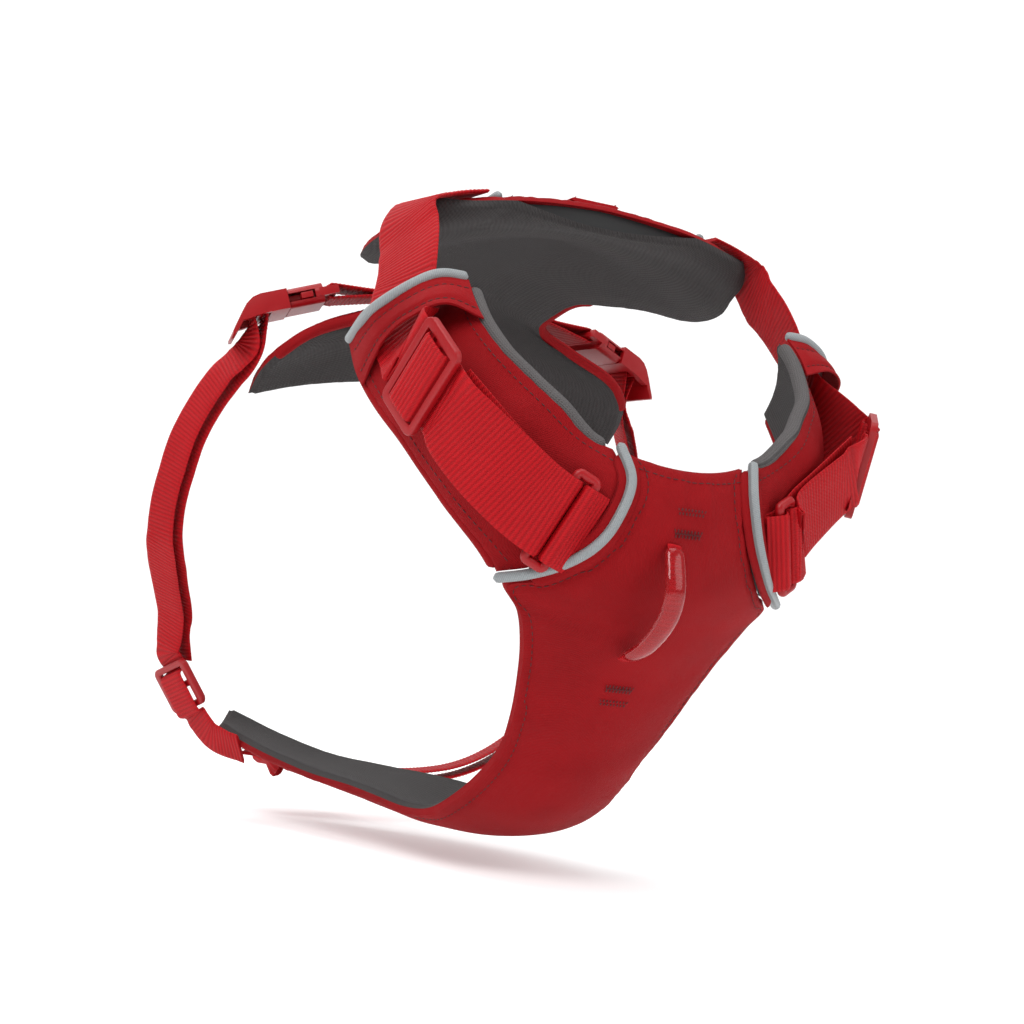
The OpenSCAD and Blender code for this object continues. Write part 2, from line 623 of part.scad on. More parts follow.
module buckle_socket(side) {
    color(red_plastic) place(buckle_frame(side)) {
        difference() {
            union() {
                translate([-socket_l / 2, 0, 0])
                    cube([socket_l, buckle_w - buckle_t, buckle_t], center = true);
                for (s = [-1, 1]) translate([-socket_l / 2, s * (buckle_w - buckle_t) / 2, 0])
                    rotate([0, 90, 0]) cylinder(h = socket_l, d = buckle_t, center = true, $fn = 48);
            }
            translate([socket_wall - socket_l, -cavity_w / 2, -cavity_t / 2])
                cube([socket_l, cavity_w, cavity_t]);
            // side windows for the prongs, open to the mouth
            for (s = [-1, 1]) translate([lug_x[0] - 1, s * buckle_w / 2 - 5, -prong_t / 2 - 0.6])
                cube([socket_l, 10, prong_t + 1.2]);
        }
        web_bar(socket_bar_x, -socket_l);
    }
}
module buckle_plug(side) {
    color(red_plastic) place(buckle_frame(side)) {
        difference() {
            translate([plastic_gap, -buckle_w / 2, -buckle_t / 2])
                cube([plug_block_l - plastic_gap, buckle_w, buckle_t]);
            // pockets for the prongs' roots
            for (s = [-1, 1]) translate([-1, s * prong_y() - 3.5, -prong_t / 2 - plastic_gap])
                cube([prong_x + 5, 7, prong_t + 2 * plastic_gap]);
        }
        // the tongue that guides the plug
        translate([-socket_l + 2 * socket_wall, -2, -cavity_t / 2 + plastic_gap])
            cube([socket_l - 2 * socket_wall + 1, 4, cavity_t - 2 * plastic_gap]);
        translate([plug_bar_x, 0, plug_bar_z]) rotate([90, 0, 0])
            cylinder(h = buckle_w - side_arm_w, d = bar_d, center = true, $fn = 32);
        rotate([90, 0, 0]) linear_extrude(buckle_w, center = true) polygon(hood);
        for (s = [-1, 1]) translate([0, s * (buckle_w - side_arm_w) / 2, 0]) rotate([90, 0, 0])
            linear_extrude(side_arm_w, center = true) polygon([
                [8, 4], [8, -4.6], [plug_bar_x + 1, plug_bar_z - 2], [22, -6], [23.6, -6], [19, 2]
            ]);
    }
}
function prong_y() = cavity_w / 2 - prong_w / 2 - plastic_gap;
// end is 1 for the front prong and -1 for the rear one
module buckle_prong(side, end) {
    color(red_plastic) place(buckle_frame(side)) {
        translate([lug_x[0], end * prong_y() - prong_w / 2, -prong_t / 2])
            cube([prong_x - lug_x[0], prong_w, prong_t]);
        translate([prong_x, end * prong_y(), 0]) cylinder(h = prong_t, d = prong_w, center = true, $fn = 24);
        translate([lug_x[0], end > 0 ? prong_y() : -buckle_w / 2 + 0.6, -prong_t / 2])
            cube([lug_x[1] - lug_x[0], buckle_w / 2 - 0.6 - prong_y(), prong_t]);
    }
}
// where the socket's webbing is sewn to the rear arm, on the left side
socket_sewn = [[-56, 40, 98], [-58, 48, 97]];
module socket_webbing(side) {
    f = buckle_frame(side);
    r = wrap_bar_r;
    sewn = all_at(all_on_side(socket_sewn, side));
    top = curve([sewn[0] + [0, 0, 2.2], sewn[1] + [0, 0, 2.2], in_frame(f, [socket_bar_x - 1, 0, r])], 6);
    under = curve([in_frame(f, [socket_bar_x - 1, 0, -r]), sewn[1], sewn[0]], 6);
    path = concat(top, arc(f, [socket_bar_x, 0], r, 90, -90, 8), under);
    color(red_webbing) ribbon(path, same(f[2], len(path)), girth_webbing_w);
}

// ---- girth straps ----

function girth_slider_frame(side) = side == 1
    ? frame(at([-142, -22, -141]), [-0.25, -0.96, 0.14], [0, -0.1, -1])
    : frame(at([-137, -101, -102]), [0.2, 0.5, -0.84], [0.29, -0.83, -0.47]);
module girth_slider(side) {
    color(red_plastic) place(girth_slider_frame(side)) tri_glide(girth_webbing_w);
}
// from the tail end of the belly panel to the slider
girth_tail_left = [[-124, -62, -133.5], [-133, -53, -134.5], [-144.5, -46, -139.5]];
girth_tail_right = [[-114, -77, -135], [-122, -83, -133.5], [-129, -88.5, -128]];
// from the slider up to the buckle
girth_up_left = [
    [-135, 5, -144.5], [-129, 32, -144], [-123, 56, -139], [-117, 76, -128], [-111, 92, -112],
    [-105, 104, -90],
    [-99, 113, -66], [-93, 120, -42], [-88, 125, -18], [-86, 128, 5], [-84, 127, 24], [-81, 123, 41],
    [-78, 116, 55], [-73, 107.5, 66]
];
girth_up_right = [
    [-139.5, -108.5, -77], [-134, -111, -65], [-124, -119.5, -47.7], [-111, -128, -30], [-106, -130, -12],
    [-101, -129, 5],
    [-95, -127, 22], [-88, -122, 39], [-80, -115.5, 54], [-73, -107.5, 66]
];
function girth_width_dir(side) = on_side([0.95, -0.3, 0], side);
girth_inset = 5;
module girth_strap(side) {
    s = girth_slider_frame(side);
    b = buckle_frame(side);
    w = girth_width_dir(side);
    sw = s[2] * w > 0 ? s[2] : -s[2];
    bw = b[2] * w > 0 ? b[2] : -b[2];
    t = [for (p = girth_thread) in_frame(s, [p[0], 0, p[1]])];
    tail = concat(all_at(side == 1 ? girth_tail_left : girth_tail_right), [t[6]]);
    up = all_at(side == 1 ? girth_up_left : girth_up_right);
    rise = concat([t[0], t[0] - s[1] * lead], up,
        [in_frame(b, [plug_bar_x + wrap_bar_r, 0, plug_bar_z - 2])]);
    over = arc(b, [plug_bar_x, plug_bar_z], wrap_bar_r, 0, 180, 8);
    last = len(up) - 1;
    inner = [for (k = [last:-1:0])
        up[k] + unit([0, -up[k].y, -up[k].z]) * (k == last ? 2.6 : girth_inset)];
    back = concat([in_frame(b, [plug_bar_x - wrap_bar_r, 0, plug_bar_z - 2])], inner,
        [in_frame(s, [-slider_l / 2, 0, -thread_z - girth_inset])]);
    n = 2 * (last + 3);
    path = concat(curve(tail, 9), [for (k = [5:-1:1]) t[k]], curve(rise, n), over, curve(back, n));
    color(red_webbing) ribbon(path,
        concat(same(sw, 15), curve(concat([sw, sw], same(w, last + 1), [bw]), n), same(bw, 9),
            curve(concat([bw], same(w, last + 1), [sw]), n)),
        girth_webbing_w);
}

module back_front_piping_left() { back_piping(front_seam, 1); }
module back_front_piping_right() { back_piping(front_seam, -1); }
module back_rear_piping_left() { back_piping(rear_seam, 1); }
module back_rear_piping_right() { back_piping(rear_seam, -1); }

back_shell();
back_foam();
back_lining();
back_pocket_liner();
back_spine_webbing();
back_ring_keeper();
back_leash_ring();
back_front_piping_left();
back_front_piping_right();
back_rear_piping_left();
back_rear_piping_right();
chest_shell();
chest_foam();
chest_lining();
chest_piping(1);  // chest_piping_left
chest_piping(-1);  // chest_piping_right
leash_loop_webbing();
leash_loop_sleeve();
shoulder_shell(1);  // shoulder_shell_left
shoulder_foam(1);  // shoulder_foam_left
shoulder_lining(1);  // shoulder_lining_left
shoulder_cuff(1);  // shoulder_cuff_left
shoulder_piping(1);  // shoulder_piping_left
shoulder_strap(1);  // shoulder_strap_left
shoulder_slider(1);  // shoulder_slider_left
anchor_ring(1);  // anchor_ring_left
anchor_webbing(1);  // anchor_webbing_left
girth_strap(1);  // girth_strap_left
girth_slider(1);  // girth_slider_left
buckle_socket(1);  // buckle_socket_left
buckle_plug(1);  // buckle_plug_left
buckle_prong(1, 1);  // buckle_prong_front_left
buckle_prong(1, -1);  // buckle_prong_rear_left
socket_webbing(1);  // socket_webbing_left
shoulder_shell(-1);  // shoulder_shell_right
shoulder_foam(-1);  // shoulder_foam_right
shoulder_lining(-1);  // shoulder_lining_right
shoulder_cuff(-1);  // shoulder_cuff_right
shoulder_piping(-1);  // shoulder_piping_right
shoulder_strap(-1);  // shoulder_strap_right
shoulder_slider(-1);  // shoulder_slider_right
anchor_ring(-1);  // anchor_ring_right
anchor_webbing(-1);  // anchor_webbing_right
girth_strap(-1);  // girth_strap_right
girth_slider(-1);  // girth_slider_right
buckle_socket(-1);  // buckle_socket_right
buckle_plug(-1);  // buckle_plug_right
buckle_prong(-1, 1);  // buckle_prong_front_right
buckle_prong(-1, -1);  // buckle_prong_rear_right
socket_webbing(-1);  // socket_webbing_right
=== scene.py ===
# No pull dog harness: padded panels, webbing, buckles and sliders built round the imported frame.
import math

import bmesh
import bpy
import numpy as np
from mathutils import Matrix


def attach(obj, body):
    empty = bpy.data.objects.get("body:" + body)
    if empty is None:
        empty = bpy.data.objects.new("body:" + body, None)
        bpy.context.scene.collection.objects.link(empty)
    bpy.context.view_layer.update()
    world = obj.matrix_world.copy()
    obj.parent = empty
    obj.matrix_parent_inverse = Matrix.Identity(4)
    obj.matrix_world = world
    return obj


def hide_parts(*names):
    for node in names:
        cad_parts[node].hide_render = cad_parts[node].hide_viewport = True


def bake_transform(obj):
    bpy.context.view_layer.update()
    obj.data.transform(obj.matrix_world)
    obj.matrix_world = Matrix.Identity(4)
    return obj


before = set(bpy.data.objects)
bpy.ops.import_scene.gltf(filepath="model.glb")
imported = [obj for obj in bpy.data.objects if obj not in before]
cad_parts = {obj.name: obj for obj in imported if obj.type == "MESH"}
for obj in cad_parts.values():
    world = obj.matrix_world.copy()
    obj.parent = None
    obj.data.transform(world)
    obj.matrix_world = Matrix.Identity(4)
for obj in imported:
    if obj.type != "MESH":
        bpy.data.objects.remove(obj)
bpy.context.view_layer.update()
print("frame loaded:", len(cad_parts), "nodes")

mm = 0.001
sideNames = {1: "left", -1: "right"}
rng = np.random.default_rng(11)

# shapes worked out with arrays, in millimetres


def unit(v):
    v = np.asarray(v, float)
    return v / np.maximum(np.linalg.norm(v, axis=-1, keepdims=True), 1e-9)


def spline(points, t):  # Catmull-Rom through points, at each t from 0 to len - 1
    p = np.asarray(points, float)
    p = np.concatenate([[2 * p[0] - p[1]], p, [2 * p[-1] - p[-2]]])
    t = np.clip(np.atleast_1d(np.asarray(t, float)), 0, len(p) - 3)
    i = np.minimum(t.astype(int), len(p) - 4)
    f = (t - i).reshape((-1,) + (1,) * (p.ndim - 1))
    a, b, c, d = p[i], p[i + 1], p[i + 2], p[i + 3]
    bend = (2 * a - 5 * b + 4 * c - d) * f * f + (3 * b - a - 3 * c + d) * f ** 3
    return 0.5 * (2 * b + (c - a) * f + bend)


def curve(points, n):  # n + 1 points evenly along the control points
    return spline(points, np.linspace(0, len(points) - 1, n + 1))


def arcLength(path):
    return np.concatenate([[0], np.cumsum(np.linalg.norm(np.diff(path, axis=0), axis=1))])


def evenly(path, step, *others):  # a smooth path resampled at one spacing, with what goes along it
    path = np.asarray(path, float)
    fine = curve(path, 8 * (len(path) - 1))
    s = arcLength(fine)
    wanted = np.linspace(0, s[-1], max(2, int(s[-1] / step)) + 1)
    t = np.interp(wanted, s, np.linspace(0, len(path) - 1, len(fine)))
    return [spline(path, t)] + [spline(o, t) for o in others]


def tangents(path):
    return unit(np.gradient(path, axis=0))


def makeFrame(origin, along, out):
    u = unit(along)
    out = np.asarray(out, float)
    k = unit(out - out.dot(u) * u)
    return {"o": np.asarray(origin, float), "u": u, "s": np.cross(k, u), "k": k}


def inFrame(f, x, z, y=0.0):
    return f["o"] + x * f["u"] + y * f["s"] + z * f["k"]


def arc(f, x, z, r, start, end, n):
    angles = np.radians(np.linspace(start, end, n + 1))
    return [inFrame(f, x + r * math.cos(a), z + r * math.sin(a)) for a in angles]


def onSide(points, side):
    return np.asarray(points, float) * [1, side, 1]


def panelGrid(rows, nu, nv):  # rows are one edge, the middle and the other edge
    a, b, c = (curve([r[k] for r in rows], nu)[:, None] for k in range(3))
    v = np.linspace(0, 1, nv + 1)[None, :, None]
    return (1 - 2 * v) * (1 - v) * a + 4 * v * (1 - v) * b + v * (2 * v - 1) * c


def gridNormals(g):
    return unit(np.cross(np.gradient(g, axis=0), np.gradient(g, axis=1)))


def edgeDistances(g):  # how far each point lies from the first row, the last row and the two side edges
    along = np.linalg.norm(np.diff(g, axis=0), axis=2).cumsum(axis=0)
    along = np.concatenate([np.zeros((1, g.shape[1])), along])
    over = np.linalg.norm(np.diff(g, axis=1), axis=2).cumsum(axis=1)
    over = np.concatenate([np.zeros((g.shape[0], 1)), over], axis=1)
    return along, along[-1] - along, over, over[:, -1:] - over


def nearness(points, path, reach):  # 1 on a path, falling away over reach
    flat = points.reshape(-1, 3)
    best = np.full(len(flat), 1e9)
    for p in evenly(path, 2.0)[0]:
        best = np.minimum(best, ((flat - p) ** 2).sum(axis=1))
    return np.exp(-best / reach ** 2).reshape(points.shape[:-1])


def ripples(points, size, waves=9):  # smooth fabric unevenness, from -1 to 1
    total = np.zeros(points.shape[:-1])
    for _ in range(waves):
        direction = unit(rng.normal(size=3)) * 2 * math.pi / (size * rng.uniform(0.7, 1.6))
        total += np.sin(points @ direction + rng.uniform(0, 6.28))
    return total / waves * 1.6


# meshes, from millimetres


def newPiece(name, vertices, faces, uv=None):
    mesh = bpy.data.meshes.new(name)
    mesh.from_pydata((np.asarray(vertices) * mm).tolist(), [], faces)
    if uv is not None:
        layer = mesh.uv_layers.new(name="cloth")
        corners = np.zeros(len(mesh.loops), int)
        mesh.loops.foreach_get("vertex_index", corners)
        layer.data.foreach_set("uv", (np.asarray(uv, float)[corners] * mm).ravel())
    mesh.polygons.foreach_set("use_smooth", [True] * len(mesh.polygons))
    mesh.validate()
    piece = bpy.data.objects.new(name, mesh)
    bpy.context.scene.collection.objects.link(piece)
    return piece


def faceOutwards(piece, sharp=math.radians(40)):
    b = bmesh.new()
    b.from_mesh(piece.data)
    bmesh.ops.recalc_face_normals(b, faces=b.faces)
    for e in b.edges:
        if len(e.link_faces) == 2 and e.calc_face_angle(0) > sharp:
            e.smooth = False
    b.to_mesh(piece.data)
    b.free()
    return piece


def closedSheet(name, outer, inner):  # a solid between two grids, with a walled edge
    n, m = outer.shape[0], outer.shape[1]
    half = n * m
    ids = np.arange(half).reshape(n, m)
    quads = np.stack([ids[:-1, :-1], ids[:-1, 1:], ids[1:, 1:], ids[1:, :-1]], axis=-1).reshape(-1, 4)
    rim = np.concatenate([ids[0, :], ids[1:, -1], ids[-1, -2::-1], ids[-2:0:-1, 0]])
    after = np.roll(rim, -1)
    walls = np.stack([rim, rim + half, after + half, after], axis=-1)
    faces = quads.tolist() + (quads[:, ::-1] + half).tolist() + walls.tolist()
    along, _, over, _ = edgeDistances(outer)
    uv = np.stack([over, along], axis=-1).reshape(-1, 2)
    points = np.concatenate([outer.reshape(-1, 3), inner.reshape(-1, 3)])
    return faceOutwards(newPiece(name, points, faces, np.concatenate([uv, uv])))


def tubeThrough(name, rings, closed=False, uv=None):
    rings = np.asarray(rings)
    n, m = rings.shape[:2]
    ids = np.arange(n * m).reshape(n, m)
    nextRow = np.roll(ids, -1, axis=0) if closed else ids[1:]
    rows = ids if closed else ids[:-1]
    faces = np.stack([rows, np.roll(rows, -1, axis=1), np.roll(nextRow, -1, axis=1), nextRow], axis=-1)
    faces = faces.reshape(-1, 4).tolist()
    if not closed:
        faces += [ids[0][::-1].tolist(), ids[-1].tolist()]
    return faceOutwards(newPiece(name, rings.reshape(-1, 3), faces, uv), math.radians(60))


def roundCord(name, path, diameter, flat=1.0, up=(0, 0, 1), sides=12, step=1.2, closed=False):
    if closed:
        pts = np.asarray(path, float)
    else:
        pts = evenly(path, step)[0]
    along = unit(np.roll(pts, -1, axis=0) - np.roll(pts, 1, axis=0)) if closed else tangents(pts)
    u = unit(np.cross(along, np.broadcast_to(np.asarray(up, float), along.shape)))
    v = np.cross(along, u)
    a = np.linspace(0, 2 * math.pi, sides, endpoint=False)
    r = np.full(len(pts), diameter / 2)
    if not closed:  # rounded ends
        s = arcLength(pts)
        end = np.clip(np.minimum(s, s[-1] - s) / (diameter / 2), 0.02, 1)
        r = r * np.sqrt(1 - (1 - end) ** 2)
    ring = np.cos(a)[None, :, None] * u[:, None] + flat * np.sin(a)[None, :, None] * v[:, None]
    uv = np.stack(np.meshgrid(a * diameter / 2, arcLength(pts)), axis=-1).reshape(-1, 2)
    return tubeThrough(name, pts[:, None] + r[:, None, None] * ring, closed, uv)


webbingWeave = {
    "ribPitch": 2.0,  # along the webbing
    "ribHeight": 0.11,
    "step": 0.5,
    "thickness": 1.6,
    "selvedge": 0.55,  # how thin the woven edge is, as a share
}


def webbing(name, path, widthDirs, width):
    w = webbingWeave
    pts, wide = evenly(path, w["step"], widthDirs)
    out = unit(np.cross(tangents(pts), wide))
    wide = np.cross(out, tangents(pts))
    half, t = width / 2, w["thickness"] / 2
    thin = t * w["selvedge"]
    upper = np.array([
        (half, thin * 0.5), (half - 0.5, thin), (half - 1.6, t), (half * 0.35, t),
        (-half * 0.35, t), (-half + 1.6, t), (-half + 0.5, thin), (-half, thin * 0.5)
    ])
    profile = np.concatenate([-upper, upper])
    s = arcLength(pts)
    rib = np.sin(2 * math.pi * s / w["ribPitch"]) * w["ribHeight"]
    inner = (np.abs(profile[:, 0]) < half - 0.9).astype(float)
    z = profile[None, :, 1] + rib[:, None] * np.sign(profile[None, :, 1]) * inner[None, :]
    rings = pts[:, None] + profile[None, :, :1] * wide[:, None] + z[..., None] * out[:, None]
    u = np.broadcast_to(profile[None, :, 0], z.shape)
    v = np.broadcast_to(s[:, None], z.shape)
    return tubeThrough(name, rings, uv=np.stack([u, v], axis=-1).reshape(-1, 2))


def roundedCopy(node, name, radius, segments=3):  # a moulded piece with softened edges
    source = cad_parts[node].data
    b = bmesh.new()
    b.from_mesh(source)
    bmesh.ops.remove_doubles(b, verts=b.verts, dist=0.00002)
    bmesh.ops.dissolve_limit(b, angle_limit=math.radians(1), verts=b.verts, edges=b.edges)
    mesh = bpy.data.meshes.new(name)
    b.to_mesh(mesh)
    b.free()
    piece = bpy.data.objects.new(name, mesh)
    bpy.context.scene.collection.objects.link(piece)
    bevel = piece.modifiers.new("soften", "BEVEL")
    bevel.width = radius * mm
    bevel.segments = segments
    bevel.limit_method = "ANGLE"
    bevel.angle_limit = math.radians(34)
    bevel.use_clamp_overlap = True
    return plain(piece)


def plain(piece):  # the piece with its modifiers applied
    graph = bpy.context.evaluated_depsgraph_get()
    mesh = bpy.data.meshes.new_from_object(piece.evaluated_get(graph))
    mesh.name = piece.name
    piece.modifiers.clear()
    piece.data = mesh
    mesh.polygons.foreach_set("use_smooth", [True] * len(mesh.polygons))
    return faceOutwards(piece)


# node trees


def linear(*screen):  # from three screen values, 0 to 255
    return tuple(c / 255 / 12.92 if c < 11 else ((c / 255 + 0.055) / 1.055) ** 2.4 for c in screen) + (1,)


class Wire:  # a socket that takes part in sums
    def __init__(self, tree, socket):
        self.tree, self.socket = tree, socket

    def combine(self, operation, a, b=None):
        values = {0: a} if b is None else {0: a, 1: b}
        return self.tree.add("ShaderNodeMath", {"operation": operation}, values)

    def __add__(self, other):
        return self.combine("ADD", self, other)

    def __radd__(self, other):
        return self.combine("ADD", other, self)

    def __mul__(self, other):
        return self.combine("MULTIPLY", self, other)

    def __rmul__(self, other):
        return self.combine("MULTIPLY", other, self)

    def sine(self):
        return self.combine("SINE", self)


class Tree:
    def __init__(self, nodeTree):
        self.nodes, self.links = nodeTree.nodes, nodeTree.links

    def add(self, kind, settings=None, values=None, output=0):
        node = self.nodes.new(kind)
        for key, value in (settings or {}).items():
            setattr(node, key, value)
        for key, value in (values or {}).items():
            if isinstance(value, Wire):
                self.links.new(value.socket, node.inputs[key])
            else:
                node.inputs[key].default_value = value
        self.last = node
        return Wire(self, node.outputs[output])


def makeMaterial(name, build, **surface):
    material = bpy.data.materials.new(name)
    material.use_nodes = True
    tree = Tree(material.node_tree)
    shader = tree.nodes["Principled BSDF"]
    for key, value in surface.items():
        shader.inputs[key.replace("_", " ")].default_value = value
    for key, wire in build(tree).items():
        tree.links.new(wire.socket, shader.inputs[key])
    return material


def mixColour(tree, factor, a, b, how="MIX"):
    return tree.add("ShaderNodeMix", {"data_type": "RGBA", "blend_type": how}, {0: factor, 6: a, 7: b}, 2)


def bumpFrom(tree, height, distance, strength=1.0):
    return tree.add("ShaderNodeBump", {}, {"Strength": strength, "Distance": distance * mm, "Height": height})


def objectNoise(tree, scale, detail=3.0, roughness=0.6):
    place = tree.add("ShaderNodeTexCoord", output=3)
    return tree.add("ShaderNodeTexNoise", {}, {"Vector": place, "Scale": scale, "Detail": detail,
                                               "Roughness": roughness})


def clothAxes(tree):  # across and along the piece, in metres
    uv = tree.add("ShaderNodeUVMap", {"uv_map": "cloth"})
    tree.add("ShaderNodeSeparateXYZ", {}, {0: uv})
    split = tree.last
    return Wire(tree, split.outputs[0]), Wire(tree, split.outputs[1])


def wovenFabric(base, lit, pitch):
    def build(tree):
        u, v = clothAxes(tree)
        turn = 2 * math.pi / (pitch * mm)
        weave = (u * turn).sine() * (v * turn).sine()
        fuzz = objectNoise(tree, 900, 4)
        patches = objectNoise(tree, 28, 3)
        worn = tree.add("ShaderNodeMapRange", {}, {"Value": patches, "From Min": 0.35, "From Max": 0.68})
        colour = mixColour(tree, worn * 0.45 + fuzz * 0.35, base, lit)
        levels = {"Value": weave, "From Min": -1, "To Min": 0.82, "To Max": 1}
        thread = tree.add("ShaderNodeMapRange", {}, levels)
        shade = tree.add("ShaderNodeCombineXYZ", {}, {0: thread, 1: thread, 2: thread})
        return {"Base Color": mixColour(tree, 1.0, colour, shade, "MULTIPLY"),
                "Roughness": fuzz * 0.18 + 0.62,
                "Normal": bumpFrom(tree, weave * 0.5 + fuzz * 0.9, 0.16)}
    return build


def ribbedWebbing(base, lit):
    def build(tree):
        u, v = clothAxes(tree)
        ribs = (v * (2 * math.pi / (webbingWeave["ribPitch"] * mm))).sine()
        twill = ((u * 2 + v) * (2 * math.pi / (1.5 * mm))).sine()
        fuzz = objectNoise(tree, 1100, 3)
        patches = objectNoise(tree, 40, 2)
        colour = mixColour(tree, patches * 0.5 + fuzz * 0.3, base, lit)
        levels = {"Value": ribs + twill * 0.4, "From Min": -1.3, "From Max": 0.6, "To Min": 0.66, "To Max": 1}
        valley = tree.add("ShaderNodeMapRange", {}, levels)
        shade = tree.add("ShaderNodeCombineXYZ", {}, {0: valley, 1: valley, 2: valley})
        return {"Base Color": mixColour(tree, 1.0, colour, shade, "MULTIPLY"),
                "Roughness": fuzz * 0.2 + 0.5,
                "Normal": bumpFrom(tree, ribs * 0.3 + twill * 0.5 + fuzz * 0.5, 0.14)}
    return build


def airMesh(base, lit, rib):
    def build(tree):
        u, v = clothAxes(tree)
        ribs = (u * (2 * math.pi / (rib * mm))).sine()
        knit = (v * (2 * math.pi / (1.3 * mm))).sine() * (u * (2 * math.pi / (1.3 * mm))).sine()
        fuzz = objectNoise(tree, 1300, 3)
        light = tree.add("ShaderNodeMapRange", {}, {"Value": ribs * 0.35 + knit * 0.4, "From Min": -1})
        return {"Base Color": mixColour(tree, light * 0.55 + fuzz * 0.35, base, lit),
                "Roughness": fuzz * 0.15 + 0.75,
                "Normal": bumpFrom(tree, ribs * 0.35 + knit * 0.5 + fuzz * 0.4, 0.26)}
    return build


def knitPiping(base, lit):
    def build(tree):
        u, v = clothAxes(tree)
        thread = ((v * 1.0 + u * 0.6) * (2 * math.pi / (0.9 * mm))).sine()
        grain = objectNoise(tree, 700, 3)
        return {"Base Color": mixColour(tree, thread * 0.25 + grain * 0.6, base, lit),
                "Roughness": grain * 0.2 + 0.42,
                "Normal": bumpFrom(tree, thread * 0.6 + grain * 0.6, 0.12)}
    return build


def mouldedPlastic(base, lit):
    def build(tree):
        grain = objectNoise(tree, 1500, 2)
        flow = objectNoise(tree, 60, 2)
        return {"Base Color": mixColour(tree, flow * 0.5, base, lit),
                "Roughness": grain * 0.16 + 0.34,
                "Normal": bumpFrom(tree, grain, 0.03)}
    return build


def platedSteel(tree):
    scratch = objectNoise(tree, 420, 4)
    return {"Roughness": scratch * 0.2 + 0.16, "Normal": bumpFrom(tree, scratch, 0.015)}


def sewingThread(base, lit):
    def build(tree):
        grain = objectNoise(tree, 2000, 2)
        return {"Base Color": mixColour(tree, grain, base, lit), "Roughness": grain * 0.2 + 0.5}
    return build


def glossySleeve(tree):
    cloud = objectNoise(tree, 160, 2)
    return {"Base Color": mixColour(tree, cloud, linear(140, 0, 8), linear(172, 8, 16)),
            "Roughness": cloud * 0.1 + 0.06}


materials = {
    "shell_fabric": makeMaterial("shell fabric", wovenFabric(linear(132, 3, 10), linear(156, 8, 17), 0.8),
                                 Sheen_Weight=0.08, Sheen_Roughness=0.5, Sheen_Tint=linear(230, 40, 50),
                                 Specular_IOR_Level=0.14),
    "webbing": makeMaterial("ribbed webbing", ribbedWebbing(linear(156, 4, 14), linear(192, 12, 24)),
                            Sheen_Weight=0.06, Sheen_Roughness=0.4, Sheen_Tint=linear(240, 50, 60),
                            Specular_IOR_Level=0.16),
    "mesh_lining": makeMaterial("air mesh lining", airMesh(linear(48, 45, 45), linear(72, 69, 69), 2.2),
                                Sheen_Weight=0.03, Specular_IOR_Level=0.15),
    "binding": makeMaterial("knit binding", airMesh(linear(56, 53, 53), linear(104, 100, 100), 1.1)),
    # near-black pocket liner: painted shade inside the neck pocket's mouth
    "pocket_fabric": makeMaterial("pocket liner painted shade", sewingThread(linear(8, 8, 9), linear(20, 20, 21)),
                                  Roughness=0.9),
    "reflective_piping": makeMaterial("reflective piping",
                                      knitPiping(linear(122, 127, 129), linear(152, 157, 159)),
                                      Sheen_Weight=0.2),
    "moulded_plastic": makeMaterial("moulded plastic",
                                    mouldedPlastic(linear(140, 4, 12), linear(164, 10, 20)),
                                    Specular_IOR_Level=0.3, Coat_Weight=0.08, Coat_Roughness=0.3),
    "clear_sleeve": makeMaterial("clear sleeve", glossySleeve, Coat_Weight=0.5, Coat_Roughness=0.04,
                                 Specular_IOR_Level=0.4, Alpha=0.62),
    "steel": makeMaterial("plated steel", platedSteel, Base_Color=linear(190, 191, 194), Metallic=1.0),
    "darkThread": makeMaterial("dark thread", sewingThread(linear(40, 8, 12), linear(70, 12, 18))),
    "redThread": makeMaterial("red thread", sewingThread(linear(150, 20, 30), linear(190, 40, 50))),
}
print("materials made")


def place(piece, body, slot, *nodes, material=None):
    piece.data.materials.clear()
    piece.data.materials.append(materials[material or slot])
    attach(piece, body)
    if nodes:
        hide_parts(*nodes)
    return piece


# padded panels

padding = {
    "thickness": 6.0,
    "edgeRadius": 3.4,  # how far in from an edge the pad reaches its full thickness
    "seamDepth": 1.1,
    "seamWidth": 2.4,
    "pucker": 0.32,  # how high the gathers beside a seam stand
    "ripple": 0.3,
}


def padFaces(g, crown, innerCrown=0.0, seams=(), sharpRows=(), sag=None):
    # the outer face, the middle and the inner face of a pad whose outer side is the grid
    p = padding
    nrm = gridNormals(g)
    first, last, a, b = edgeDistances(g)
    nearest = np.minimum(a, b)
    if 0 not in sharpRows:
        nearest = np.minimum(nearest, first)
    if 1 not in sharpRows:
        nearest = np.minimum(nearest, last)
    d = np.clip(nearest / p["edgeRadius"], 0, 1)
    full = np.sqrt(1 - (1 - d) ** 2)
    soft = ripples(g, 34) * p["ripple"] * full
    pucker = ripples(g, 6.5, 7) * p["pucker"] * np.exp(-nearest / 7) * full
    groove = np.zeros_like(nearest)
    for seam in seams:
        near = nearness(g, seam, p["seamWidth"])
        groove += near * p["seamDepth"]
        pucker += ripples(g, 5.5, 7) * p["pucker"] * 0.8 * nearness(g, seam, 7) * full
    swell = np.clip(nearest / 16, 0, 1)
    swell = swell * swell * (3 - 2 * swell)
    half = p["thickness"] / 2
    out = -half * (1 - full) + crown * swell - groove * full + soft + pucker
    inner = -2 * half + half * (1 - full) - innerCrown * swell + 0.5 * soft - 0.5 * pucker
    fall = np.zeros_like(nearest) if sag is None else sag
    offsets = [out, np.full_like(out, -half + 0.15), np.full_like(out, -half - 0.15) - fall, inner - fall]
    return [g + nrm * o[..., None] for o in offsets]


